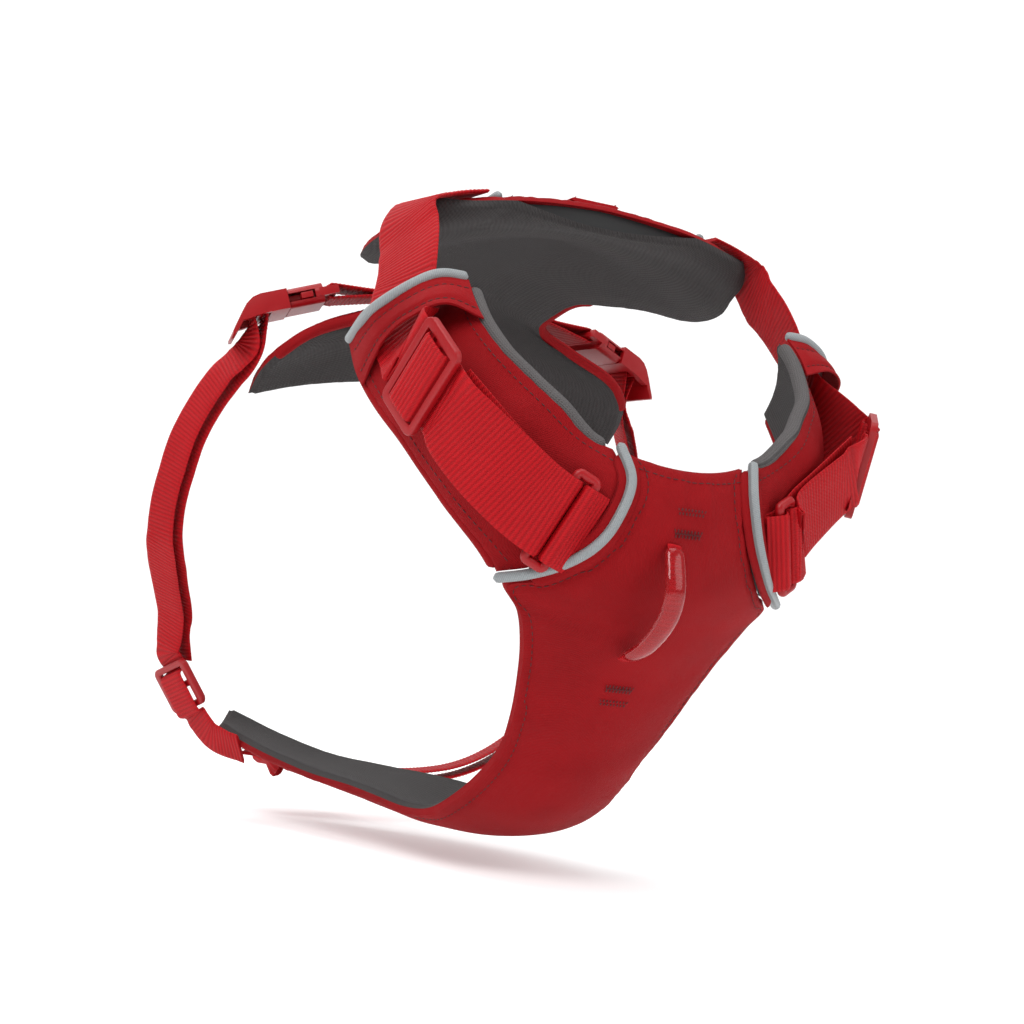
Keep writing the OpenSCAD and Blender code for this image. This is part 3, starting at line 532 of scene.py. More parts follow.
def makePad(name, g, body, shellNodes, liningNodes, crown, fill, **more):
    outer, middleOut, middleIn, inner = padFaces(g, crown, **more)
    shell = place(closedSheet(name + "_shell", outer, middleOut), body, "shell_fabric", *shellNodes)
    lining = place(closedSheet(name + "_lining", middleIn, inner), body, "mesh_lining", *liningNodes)
    return outer


stitchRows = {"darkThread": [], "redThread": []}  # rows of sewing on the fixed pieces, found as they are made


def sew(path, thread="darkThread"):
    stitchRows[thread].append(np.asarray(path, float))


# back panel: x and z of each row's middle, x half way out, then x, y and z of its edge
backPanel = {
    "rows": [
        [70, 136, 74, 62, 77, 125], [62, 135, 65, 50, 88, 117], [52, 134, 53, 38, 94, 112],
        [41, 132, 41, 25, 96, 107], [30, 131, 28, 12, 90, 106], [19, 129, 16, 2, 73, 109],
        [6, 126, 3, -8, 58, 110], [-8, 122, -11, -20, 45, 110], [-22, 117, -25, -33, 40, 105],
        [-38, 109, -41, -47, 40, 98], [-48, 103, -50, -51, 58, 90], [-56, 97, -57, -50, 84, 79],
        [-63, 92, -64, -54, 98, 68], [-76, 82, -76, -65, 104, 58], [-94, 67, -89, -77, 104.5, 47]
    ],
    "grid": (150, 120),
    "crown": 1.8,
    "frontSeam": [[0.4, 0.64], [2, 0.56], [4, 0.57], [5.9, 0.94]],  # row and share of the half width
    "rearSeam": [[9.3, 0.92], [10.3, 0.5], [12, 0.31], [14, 0.31]],
    "pocketRows": 4.0,
    "pocketHalf": 0.62,
    "pocketColumns": (0.21, 0.79),
    "pocketSag": 8.5,
    "rollDiameter": 5.6,
    "rollRows": (6.5, 12.4),
    "rollShare": 0.985,  # share of the half width
    "stitchShift": 0.055,  # share of the half width between a piping and its stitches
    "stitchLift": 0.9,
    "edgeStitchRows": (6.6, 12.2),
    "edgeStitchShare": 0.9,
    "neckStitchRow": 0.75,
    "tailStitchRow": 13.4,
}
pipingDiameter = 4.4
plyGap = 0.3


def backPoint(row, s):
    row, s = np.asarray(row, float), np.asarray(s, float)
    a = (16 * (row[..., 2] - row[..., 0]) - (row[..., 3] - row[..., 0])) / 3
    b = row[..., 3] - row[..., 0] - a
    x = row[..., 0] + a * s ** 2 + b * s ** 4
    z = row[..., 1] + (row[..., 5] - row[..., 1]) * np.abs(s) ** 1.6
    return np.stack([x, row[..., 4] * s, z], axis=-1)


def onBack(t, s, lift):
    row, ahead = spline(backPanel["rows"], t), spline(backPanel["rows"], np.asarray(t) + 0.02)
    p = backPoint(row, s)
    normal = unit(np.cross(backPoint(ahead, s) - p, backPoint(row, np.asarray(s) - 0.02) - p))
    return p + normal * lift


def backCentre(t):
    middle = [[r[0], 0, r[1]] for r in backPanel["rows"]]
    return makeFrame(spline(middle, t)[0], (spline(middle, t + 0.2) - spline(middle, t - 0.2))[0], [0, 0, 1])


def makeBackPanel():
    b = backPanel
    nu, nv = b["grid"]
    t = np.linspace(0, 14, nu + 1)
    s = np.linspace(1, -1, nv + 1)
    g = backPoint(np.broadcast_to(spline(b["rows"], t)[:, None], (nu + 1, nv + 1, 6)), s[None, :])
    seams = []
    for side in (1, -1):
        for seam in (b["frontSeam"], b["rearSeam"]):
            q = curve(seam, 24)
            seams.append(onBack(np.minimum(q[:, 0], 13.9), q[:, 1] * side, 0))
    mouth = np.clip(1 - t / b["pocketRows"], 0, 1)[:, None] ** 1.5
    mouth = mouth * np.clip(1 - (np.abs(s) / b["pocketHalf"]) ** 2, 0, 1)[None]
    sag = mouth * b["pocketSag"]
    outer, middleOut, middleIn, inner = padFaces(g, b["crown"], 0.8, seams, sag=sag)
    shell = closedSheet("back_panel", outer, middleOut)
    place(shell, "root", "shell_fabric", "back_shell", "back_foam")
    lining = closedSheet("back_panel_lining", middleIn, inner)
    place(lining, "root", "mesh_lining", "back_lining")
    # the pocket liner fills the gap between shell and lining under the neck edge; its near-black colour is
    # painted shade inside the open pocket
    rows = slice(4, int(nu * b["pocketRows"] / 14))
    first, last = b["pocketColumns"]
    cols = slice(int(nv * first), int(nv * last) + 1)
    nrm = gridNormals(g)[rows, cols]
    half = padding["thickness"] / 2
    top = g[rows, cols] - nrm * (half - 0.05)
    low = g[rows, cols] - nrm * (half + 0.05 + sag[rows, cols])[..., None]
    liner = place(closedSheet("neck_pocket", top, low), "root", "pocket_fabric", "back_pocket_liner")
    for side in (1, -1):
        label = sideNames[side]
        for seamName, seam in (("front", b["frontSeam"]), ("rear", b["rearSeam"])):
            q = curve(seam, 24)
            path = onBack(np.minimum(q[:, 0], 13.85), q[:, 1] * side, pipingDiameter / 2 - 0.1)
            piece = roundCord(f"back_{seamName}_cord_{label}", path, pipingDiameter)
            place(piece, "root", "reflective_piping", f"back_{seamName}_piping_{label}")
            sew(onBack(np.minimum(q[:, 0], 13.6), (q[:, 1] - b["stitchShift"]) * side, 0.75))
        t = np.linspace(*b["rollRows"], 40)
        roll = onBack(t, np.full(40, b["rollShare"] * side), -half)
        rolledEdge = roundCord(f"back_rolled_edge_{label}", roll, b["rollDiameter"], sides=16)
        place(rolledEdge, "root", "shell_fabric")
        share = np.full(50, b["edgeStitchShare"] * side)
        sew(onBack(np.linspace(*b["edgeStitchRows"], 50), share, b["stitchLift"]))
    s = np.linspace(-0.88, 0.88, 60)
    sew(onBack(np.full(60, b["neckStitchRow"]), s, 0.5))
    sew(onBack(np.full(60, b["tailStitchRow"]), s * 0.9, b["stitchLift"]))


makeBackPanel()
print("back panel made")

chestPanel = {
    "rows": [
        [[150, -30, 20], [156, 0, 15], [150, 30, 20]], [[156, -27, 7], [159, 0, 4], [156, 27, 7]],
        [[155, -31, -8], [159, 0, -9], [155, 31, -8]], [[152, -37, -20], [156, 0, -22], [152, 37, -20]],
        [[145, -46, -29], [151, 0, -34], [145, 46, -29]], [[136, -56, -35], [145, 0, -43], [136, 56, -35]],
        [[125, -66, -38], [139, 0, -51], [125, 66, -38]], [[123, -57, -49], [132, 0, -60], [123, 57, -49]],
        [[116, -50, -63], [123, 0, -72], [116, 50, -63]], [[107, -45, -78], [114, 0, -87], [107, 45, -78]],
        [[97, -41, -93], [104, 0, -102], [97, 41, -93]], [[84, -38, -108], [92, 0, -118], [84, 38, -108]],
        [[68, -39, -122], [76, 0, -133], [68, 39, -122]], [[50, -41, -134], [56, 0, -144], [50, 41, -134]],
        [[32, -42, -142], [33, 0, -150], [27, 41, -143]], [[12, -44, -144], [8, -2, -151], [0, 38, -144]],
        [[-10, -48, -142], [-18, -8, -149], [-28, 31, -142]],
        [[-33, -52, -140], [-46, -18, -145], [-60, 15, -139]],
        [[-60, -60, -138], [-76, -31, -141], [-90, -3, -138]],
        [[-86, -68, -134], [-102, -46, -137], [-114, -24, -135]],
        [[-108, -76, -129], [-122, -61, -130], [-136, -46, -127]],
        [[-128, -83, -123], [-140, -76, -122], [-152, -68, -116]]
    ],
    "grid": (240, 56),
    "crown": 1.0,
    "edgeStitch": 6.0,
    "seam": [
        [151.5, 33, 22], [158, 30, 7], [157, 34.5, -9], [153.5, 41, -20], [146, 50, -28], [137, 60, -33],
        [126, 70.5, -36]
    ],
    "ridgeHeight": 1.0,
    "allowanceBehind": [1.6, 0, 0.4],
    "allowanceWidth": 11.0,
    "sewnRows": (234, 236, 229, 6),  # grid rows at the belly end, and one at the neck
    "stitchLift": 0.15,
}


def makeChestPanel():
    c = chestPanel
    g = panelGrid(c["rows"], *c["grid"])
    nrm = gridNormals(g)
    first, last, a, b = edgeDistances(g)
    outer, middleOut, middleIn, inner = padFaces(g, c["crown"], 0.4)
    u = np.linspace(0, 21, g.shape[0])[:, None]
    v = np.linspace(0, 1, g.shape[1])[None]
    for sign in (-1, 1):  # two raised folds run from the neck edge to the leash loop
        offset = 0.5 + sign * (0.1 + 0.02 * u)
        fold = np.exp(-((v - offset) / 0.045) ** 2) * np.clip(1 - u / 3.4, 0, 1) ** 0.5
        fold = fold * np.clip(first / 4, 0, 1)
        outer = outer + nrm * (fold * c["ridgeHeight"])[..., None]
    groove = np.exp(-((np.minimum(a, b) - c["edgeStitch"]) / 1.4) ** 2) * 0.7 * np.clip(first / 5, 0, 1)
    outer = outer - nrm * groove[..., None]
    shell = closedSheet("chest_panel", outer, middleOut)
    place(shell, "root", "shell_fabric", "chest_shell", "chest_foam")
    lining = closedSheet("chest_panel_lining", middleIn, inner)
    place(lining, "root", "mesh_lining", "chest_lining")
    for side, distance in ((1, b), (-1, a)):
        line = []
        for i in range(3, g.shape[0] - 3, 2):
            j = int(np.argmin(np.abs(distance[i] - c["edgeStitch"])))
            line.append(outer[i, j] + nrm[i, j] * 0.12)
        sew(line)
        path = onSide(c["seam"], side)
        label = sideNames[side]
        cordPiece = roundCord(f"chest_cord_{label}", curve(path, 24), pipingDiameter, up=(1, 0, 0.2))
        place(cordPiece, "root", "reflective_piping", f"chest_piping_{label}")
        behind = curve(path - c["allowanceBehind"], 24)[1:-4]
        allowance = roundCord(f"chest_seam_allowance_{label}", behind, c["allowanceWidth"], 0.24,
                              up=(1, 0, 0.2), sides=14)
        place(allowance, "root", "shell_fabric")
    for row in c["sewnRows"]:
        sew(outer[row, 4:-4:2] + nrm[row, 4:-4:2] * c["stitchLift"])
    return outer, nrm


chestOuter, chestNormals = makeChestPanel()
print("chest panel made")

leashLoop = {
    "points": [
        [159.5, -8, -16.5], [163, -9, -24], [166, -10, -34], [164, -10, -43], [158, -10, -51],
        [147, -10, -59], [133.5, -10, -64]
    ],
    "webbingWidth": 6.5,
    "sleeveWidth": 9.4,
    "sleeveThickness": 5.0,
    "tackWidth": 13.0,
    "tackHeight": 2.4,
    "tacks": ((2.2, 9.0), (8.35, -7.0)),  # row of the panel, and how far off the second tack lies
}


def makeLeashLoop():
    k = leashLoop
    path = curve(k["points"], 18)
    wide = unit(np.cross(path[-1] - path[0], [1, 0, -0.4]))
    strip = webbing("leash_loop_strip", path, np.tile(wide, (len(path), 1)), k["webbingWidth"])
    place(strip, "leash_loop", "webbing", "leash_loop_webbing")
    pts = evenly(path[1:-1], 1.0)[0]
    along = tangents(pts)
    out = unit(np.cross(along, wide))
    a = np.linspace(0, 2 * math.pi, 28, endpoint=False)
    oval = np.cos(a)[None, :, None] * np.cross(out, along)[:, None] * k["sleeveWidth"] / 2
    oval = oval + np.sin(a)[None, :, None] * out[:, None] * k["sleeveThickness"] / 2
    lip = 1 - 0.12 * np.exp(-np.minimum(arcLength(pts), arcLength(pts)[-1] - arcLength(pts)) / 0.8)
    sleeve = tubeThrough("leash_loop_tube", pts[:, None] + oval * lip[:, None, None])
    place(sleeve, "leash_loop", "clear_sleeve", "leash_loop_sleeve")
    for at, apart in k["tacks"]:  # two dense zigzag tacks hold each end
        i = int(at / 21 * (chestOuter.shape[0] - 1))
        j = chestOuter.shape[1] // 2 - 2
        centre, n = chestOuter[i, j], chestNormals[i, j]
        across = unit(chestOuter[i, j + 3] - chestOuter[i, j - 3])
        down = unit(np.cross(n, across))
        for shift, height in ((0, k["tackHeight"]), (apart, k["tackHeight"] * 0.7)):
            middle = centre + down * shift + n * 0.4
            zigzag = [middle + across * q * k["tackWidth"] / 2 + down * (-1) ** m * height / 2
                      for m, q in enumerate(np.linspace(-1, 1, 17))]
            tackLines.extend(zip(zigzag[:-1], zigzag[1:]))


tackLines = []
makeLeashLoop()
print("leash loop made")

# shoulder pads

shoulderPad = {
    "rows": [
        [[150, 36, 24], [150, 44, -18], [123, 75, -32]], [[148, 47, 27], [138, 69, 3], [118, 81, -20]],
        [[145, 58, 36], [133, 82, 16], [111, 91, -5]], [[138, 67, 45], [125, 89, 26], [103, 97, 6]],
        [[130, 76, 55], [116, 95, 37], [94, 103, 18]], [[119, 81, 67], [102, 99, 49], [80, 108, 31]],
        [[111, 82, 76], [92, 100, 60], [68, 111, 44]], [[103, 81, 84], [82, 99, 71], [58, 111, 57]]
    ],
    "grid": (112, 64),
    "crown": 1.4,
    "cuffTop": [[102.5, 95, 84], [99.5, 107, 77], [84, 115, 67]],
    "cuffLow": [[117, 97, 71.5], [112, 107.3, 66.8], [95, 113, 57]],
    "cuffReach": (2 / 7, 0.2),  # share of the pad's length that the cuff covers at its two edges
    "cuffRows": 26,
    "cuffThickness": 1.4,
    "cuffStitch": (0.2, 0.74),
    "cuffPuff": 0.9,
    "cuffRipple": (16, 0.35),
    "cuffGroove": (0.85, 0.07),  # depth, and width as a share of the cuff
    "bindingWidth": 6.6,
    "stitchInset": 7,  # grid points in from an edge
}


def padGrid(side, nu, nv):
    k = shoulderPad
    rows = [onSide(r, side)[::-1 if side == 1 else 1] for r in k["rows"]]
    raw = panelGrid(rows, nu, nv)
    n = gridNormals(raw)[0]
    seam = onSide(chestPanel["seam"], side)
    v = np.linspace(0, 1, nv + 1)
    t = (len(seam) - 1) * (1 - v if side == 1 else v)
    along = spline(seam, t + 0.1) - spline(seam, t - 0.1)
    edge = spline(seam, t) - side * unit(np.cross(along, n)) * (pipingDiameter / 2 + plyGap) - n * 2.2
    f = np.clip(1 - np.linspace(0, 14, nu + 1) / 4, 0, 1)[:, None, None]
    return raw + (edge - raw[0])[None] * f * f * (3 - 2 * f)


def makeShoulder(side):
    k = shoulderPad
    label = sideNames[side]
    g = padGrid(side, *k["grid"])
    outer = makePad(f"shoulder_pad_{label}", g, "root",
                    [f"shoulder_shell_{label}", f"shoulder_foam_{label}"], [f"shoulder_lining_{label}"],
                    k["crown"], 0.55, innerCrown=0.6, sharpRows=(0,))
    nrm = gridNormals(g)
    middle = g - nrm * padding["thickness"] / 2
    neck = middle[:, -1] if side == 1 else middle[:, 0]
    outside = middle[:, 0] if side == 1 else middle[:, -1]
    place(roundCord(f"shoulder_neck_binding_{label}", neck[2:-3], k["bindingWidth"], 0.92, sides=16),
          "root", "mesh_lining", material="binding")
    place(roundCord(f"shoulder_edge_binding_{label}", outside[2:-3], k["bindingWidth"] - 1, 0.92, sides=16),
          "root", "shell_fabric")
    j = k["stitchInset"]
    edges = (outer[4:-6:2, -j], outer[4:-6:2, j - 1])
    for line in edges[::side]:
        sew(line + unit(line - g.mean(axis=(0, 1))) * 0.15)
    # the cuff stands off the pad's tip
    n = k["cuffRows"]
    lifted = g + nrm * (1 + plyGap)
    f = np.linspace(0, 1, n + 1)[:, None, None]
    order = [2, 1, 0] if side == 1 else [0, 1, 2]
    low, top = onSide(k["cuffLow"], side)[order], onSide(k["cuffTop"], side)[order]
    crownPoints = (1 - f) * low[None] + f * top[None]
    reach = k["cuffReach"][::-1] if side == 1 else k["cuffReach"]
    nu = g.shape[0] - 1
    starts = spline(lifted[:, 0], nu * (1 - reach[0] * (1 - f[:, 0, 0])))
    ends = spline(lifted[:, -1], nu * (1 - reach[1] * (1 - f[:, 0, 0])))
    rowPoints = np.concatenate([starts[:, None], crownPoints, ends[:, None]], axis=1)
    cuff = np.stack([curve(r, 72) for r in rowPoints])
    cuffNormals = gridNormals(cuff)
    level = np.linspace(0, 1, n + 1)[:, None]
    rippleSize, rippleHeight = k["cuffRipple"]
    puff = k["cuffPuff"] * np.sin(math.pi * np.clip(level / 0.9, 0, 1))
    puff = puff + ripples(cuff, rippleSize) * rippleHeight
    grooveDepth, grooveWidth = k["cuffGroove"]
    for seam in k["cuffStitch"]:
        puff = puff - grooveDepth * np.exp(-((level - seam) / grooveWidth) ** 2)
    across = np.linspace(0, 1, 73)[None]
    puff = puff * np.clip(np.minimum(across, 1 - across) * 12, 0, 1)
    face = cuff + cuffNormals * puff[..., None]
    band = closedSheet(f"shoulder_cuff_band_{label}", face, cuff - cuffNormals * k["cuffThickness"] * 0.6)
    place(band, "root", "shell_fabric", f"shoulder_cuff_{label}")
    for seam in k["cuffStitch"]:
        row = int(round(seam * n))
        sew(face[row, 3:-3:2] + cuffNormals[row, 3:-3:2] * 0.2)
    topEdge = cuff[-1] + unit(cuff[-1] - cuff[-2]) * (pipingDiameter / 2 - 0.3)
    place(roundCord(f"shoulder_cord_{label}", topEdge[::3], pipingDiameter, up=(0, side, 0.3)), "root",
          "reflective_piping", f"shoulder_piping_{label}")


for side in (1, -1):
    makeShoulder(side)
print("shoulder pads made")

# sliders, rings and buckles

slider = {"thickness": 3.2, "bar": 3.4, "slot": 7.5, "gap": 0.5, "rail": 4.5, "edge": 1.1}
sliderLength = 3 * slider["bar"] + 2 * slider["slot"]
threadZ = slider["thickness"] / 2 + slider["gap"] + webbingWeave["thickness"] / 2
widths = {"shoulder": 35.0, "girth": 20.0, "spine": 25.0}
shoulderSliderFrames = {
    1: makeFrame([126, 111, 30], [0.76, -0.56, -0.33], [0.5, 0.84, -0.15]),
    -1: makeFrame([121, -108, 40], [0.66, 0.24, -0.71], [0.21, -0.97, -0.13]),
}
girthSliderFrames = {
    1: makeFrame([-142, -22, -141], [-0.25, -0.96, 0.14], [0, -0.1, -1]),
    -1: makeFrame([-137, -101, -102], [0.2, 0.5, -0.84], [0.29, -0.83, -0.47]),
}
anchorFrames = {
    1: makeFrame([149.1, 55.5, -11.3], [0.3, -0.83, -0.45], [0.85, 0.5, -0.1]),
    -1: makeFrame([149.2, -55.6, -11.4], [0.3, 0.83, -0.45], [0.85, -0.5, -0.1]),
}
buckleFrames = {
    side: makeFrame([-69, 91 * side, 90], [-0.25, 0.92 * side, -0.32], [-0.15, 0.3 * side, 0.94])
    for side in (1, -1)
}
ringBar = 4.0


def ringLoop(name, f, x, y, r):  # a rounded rectangular ring of round bar
    corners = []
    for quarter, (cx, cy) in enumerate(((x, y), (-x, y), (-x, -y), (x, -y))):
        mx, my = cx - math.copysign(r, cx), cy - math.copysign(r, cy)
        for a in np.radians(np.linspace(quarter * 90, quarter * 90 + 90, 9)):
            corners.append((mx + r * math.cos(a), my + r * math.sin(a)))
    path = np.array([inFrame(f, px, 0, py) for px, py in corners])
    fine = []
    for p, q in zip(path, np.roll(path, -1, axis=0)):
        count = max(1, int(np.linalg.norm(q - p) / 2))
        fine += [p + (q - p) * m / count for m in range(count)]
    return roundCord(name, fine, ringBar, up=f["k"], sides=20, closed=True)


def makeHardware():
    for side in (1, -1):
        label = sideNames[side]
        place(roundedCopy(f"shoulder_slider_{label}", f"shoulder_tri_glide_{label}", slider["edge"]),
              f"shoulder_slider_body_{label}", "moulded_plastic", f"shoulder_slider_{label}")
        place(roundedCopy(f"girth_slider_{label}", f"girth_tri_glide_{label}", slider["edge"]),
              f"girth_slider_body_{label}", "moulded_plastic", f"girth_slider_{label}")
        barX = ringBar / 2 + webbingWeave["thickness"] + 1.5 * slider["gap"]
        half = (widths["shoulder"] + 2 * slider["gap"] + ringBar) / 2
        ring = ringLoop(f"anchor_loop_{label}", anchorFrames[side], barX, half, 1.6)
        place(ring, "root", "moulded_plastic", f"anchor_ring_{label}")
        place(roundedCopy(f"buckle_socket_{label}", f"buckle_housing_{label}", 0.9), "root",
              "moulded_plastic", f"buckle_socket_{label}")
        place(roundedCopy(f"buckle_plug_{label}", f"buckle_tongue_{label}", 0.8), f"plug_{label}",
              "moulded_plastic", f"buckle_plug_{label}")
        for end in ("front", "rear"):
            place(roundedCopy(f"buckle_prong_{end}_{label}", f"buckle_clip_{end}_{label}", 0.5),
                  f"prong_{end}_{label}", "moulded_plastic", f"buckle_prong_{end}_{label}")


makeHardware()

backRing = {"row": 6.4, "wire": 4.0, "spineRise": 1.4, "spineStitch": 10.6}
ringFrame = backCentre(backRing["row"])
spineLift = plyGap + webbingWeave["thickness"] / 2
keeperZ = spineLift + webbingWeave["thickness"] + plyGap
keeperR = backRing["wire"] / 2 + slider["gap"] + webbingWeave["thickness"] / 2
ringZ = keeperZ + keeperR


def makeBackRing():
    bow = (widths["spine"] + 3 + backRing["wire"]) / 2
    path = [inFrame(ringFrame, 0, ringZ, y) for y in np.linspace(-bow + 1, bow - 1, 16)]
    path += [inFrame(ringFrame, bow * math.cos(a), ringZ, bow * math.sin(a))
             for a in np.radians(np.linspace(86, -86, 44))]
    ring = roundCord("back_d_ring", path, backRing["wire"], up=ringFrame["k"], sides=24, closed=True)
    place(ring, "back_ring", "steel", "back_leash_ring")
    t = np.linspace(1, 12, 24)
    frames = [backCentre(x) for x in t]
    rise = spineLift + backRing["spineRise"]
    spine = webbing("spine_strip", [inFrame(f, 0, rise) for f in frames],
                    np.tile([0, 1, 0], (24, 1)), widths["spine"])
    place(spine, "root", "webbing", "back_spine_webbing")
    for y in (-backRing["spineStitch"], backRing["spineStitch"]):
        sew([inFrame(f, 0, rise + 0.95, y) for f in frames], "redThread")
    top = keeperZ + webbingWeave["thickness"] + plyGap
    path = [inFrame(ringFrame, -x, keeperZ + 1) for x in (17, 4)]
    path += arc(ringFrame, 0, ringZ, keeperR, 270, 450, 10)
    path += [inFrame(ringFrame, -x, z + 1) for x, z in ((6, top + 1.6), (11, top), (16, top))]
    keeper = webbing("ring_keeper_strip", path, np.tile(ringFrame["s"], (len(path), 1)), widths["spine"] - 3)
    place(keeper, "root", "webbing", "back_ring_keeper")
    for x in (9, 14.5):
        sew([inFrame(ringFrame, -x, top + 2, y) for y in np.linspace(-9, 9, 10)], "redThread")


makeBackRing()
print("hardware made")

# webbing

nearBar = sliderLength / 2 - slider["bar"]
thread = [  # under the first bar, flat over the middle bar and under the last
    (-sliderLength / 2 - 1, -threadZ), (-nearBar + 0.4, -threadZ), (-nearBar + 2.6, threadZ * 0.75),
    (-slider["bar"] / 2 - 0.6, threadZ), (slider["bar"] / 2 + 0.6, threadZ), (nearBar - 2.6, threadZ * 0.75),
    (nearBar - 0.4, -threadZ), (sliderLength / 2 + 1, -threadZ)
]
shoulderStrap = {
    "start": [
        [[55.5, 60, 130.5], [-1, 0, 0]], [[55.5, 69, 128.5], [-1, 0, 0]], [[55.5, 78, 126], [-1, 0.05, 0]],
        [[56, 86, 123], [-0.98, 0.1, 0]], [[59, 91, 115.5], [-0.97, 0.18, -0.08]],
        [[65.5, 93, 106.5], [-0.95, 0.22, -0.15]], [[73.5, 96, 97], [-0.92, 0.28, -0.25]],
        [[80, 99.5, 86], [-0.86, 0.36, -0.34]], [[84, 102, 76], [-0.8, 0.43, -0.4]],
        [[90, 103.5, 68], [-0.72, 0.43, -0.52]], [[98, 104, 58], [-0.6, 0.36, -0.7]]
    ],
    "strand": {
        1: [[[138, 93, 19.5], [-0.5, 0.4, -0.76]], [[141, 79, 9], [-0.45, 0.42, -0.79]],
            [[145, 66, -1.5], [-0.38, 0.42, -0.82]]],
        -1: [[[136, -97, 21], [-0.62, -0.15, -0.77]], [[142.5, -86, 9], [-0.5, -0.28, -0.82]],
             [[146.5, -71, -3], [-0.38, -0.36, -0.85]]],
    },
    "strandInset": 3.0,
    "lead": 5.0,
    "exit": 4.0,
    "tabEnd": {1: 10.6, -1: 12.0},
}
anchorBarX = ringBar / 2 + webbingWeave["thickness"] + 1.5 * slider["gap"]
wrapR = ringBar / 2 + slider["gap"] + webbingWeave["thickness"] / 2


def makeShoulderStrap(side):
    k = shoulderStrap
    s, f = shoulderSliderFrames[side], anchorFrames[side]
    w, fw = side * s["s"], side * f["s"]
    t = [inFrame(s, x, z) for x, z in thread]
    middle = [np.array(q[0], float) for q in k["strand"][side]]
    middleW = [np.array(q[1], float) for q in k["strand"][side]]
    inner = []
    for m in range(3):
        along = (middle[m + 1] if m < 2 else f["o"]) - middle[m]
        inner.append(middle[m] - side * unit(np.cross(along, middleW[m])) * k["strandInset"])
    down = list(onSide([q[0] for q in k["start"]], side)) + [t[0] - s["u"] * k["lead"], t[0]]
    downW = list(onSide([q[1] for q in k["start"]], side)) + [w, w]
    out = [t[-1], t[-1] + s["u"] * k["exit"]] + middle + [inFrame(f, -anchorBarX - 3, wrapR)]
    outW = [w, w] + middleW + [fw]
    around = arc(f, -anchorBarX, 0, wrapR, 90, -90, 8)
    back = [inFrame(f, -anchorBarX - 3, -wrapR), inner[2], inner[1],
            inFrame(s, sliderLength / 2 - 2, -threadZ - k["strandInset"])]
    backW = [fw, middleW[2], middleW[1], w]
    path = np.concatenate([curve(down, 24), t[1:-1], curve(out, 10), around, curve(back, 8)])
    wide = np.concatenate([curve(downW, 24), [w] * 6, curve(outW, 10), [fw] * 9, curve(backW, 8)])
    strap = webbing(f"shoulder_webbing_{sideNames[side]}", path, wide, widths["shoulder"])
    place(strap, "root", "webbing", f"shoulder_strap_{sideNames[side]}")
    end = k["tabEnd"][side]
    path = [inFrame(f, end, -2.6), inFrame(f, anchorBarX + 2.5, wrapR - 1.6)]
    path += arc(f, anchorBarX, 0, wrapR, 80, 280, 8)
    path += [inFrame(f, anchorBarX + 2.5, -wrapR - 0.6), inFrame(f, end, -4.6)]
    tab = webbing(f"anchor_tab_{sideNames[side]}", path, np.tile(f["s"], (len(path), 1)), widths["shoulder"])
    place(tab, "root", "webbing", f"anchor_webbing_{sideNames[side]}")


girthStrap = {
    "tail": {
        1: [[-124, -62, -133.5], [-133, -53, -134.5], [-144.5, -46, -139.5]],
        -1: [[-112, -75, -130], [-120, -80.5, -128], [-128, -86, -124.5]],
    },
    "up": {
        1: [[-135, 5, -144.5], [-129, 32, -144], [-123, 56, -139], [-117, 76, -128], [-111, 92, -112],
            [-105, 104, -90], [-99, 113, -66], [-93, 120, -42], [-88, 125, -18], [-86, 128, 5],
            [-84, 127, 24], [-81, 123, 41], [-78, 116, 55], [-73, 107.5, 66]],
        -1: [[-139.5, -108.5, -77], [-134, -111, -65], [-124, -119.5, -47.7], [-111, -128, -30],
             [-106, -130, -12],
             [-101, -129, 5], [-95, -127, 22], [-88, -122, 39], [-80, -115.5, 54], [-73, -107.5, 66]],
    },
    "inset": 5.0,
    "topInset": 2.6,
    "lead": 5.0,
}
plugBar = (14.5, -3.0)
buckle = {"bar": 4.0, "socketLength": 17.0}
barWrapR = buckle["bar"] / 2 + slider["gap"] + webbingWeave["thickness"] / 2
socketBarX = -buckle["socketLength"] - webbingWeave["thickness"] - 2 * slider["gap"] - buckle["bar"] / 2 - 1
socketTab = {
    "sewn": [[-56, 40, 98], [-58, 48, 97]],
    "upper": [0, 0, 3.4],
    "lower": [0, 0, 1.2],
}


def facing(a, b):
    return a if np.dot(a, b) > 0 else -a


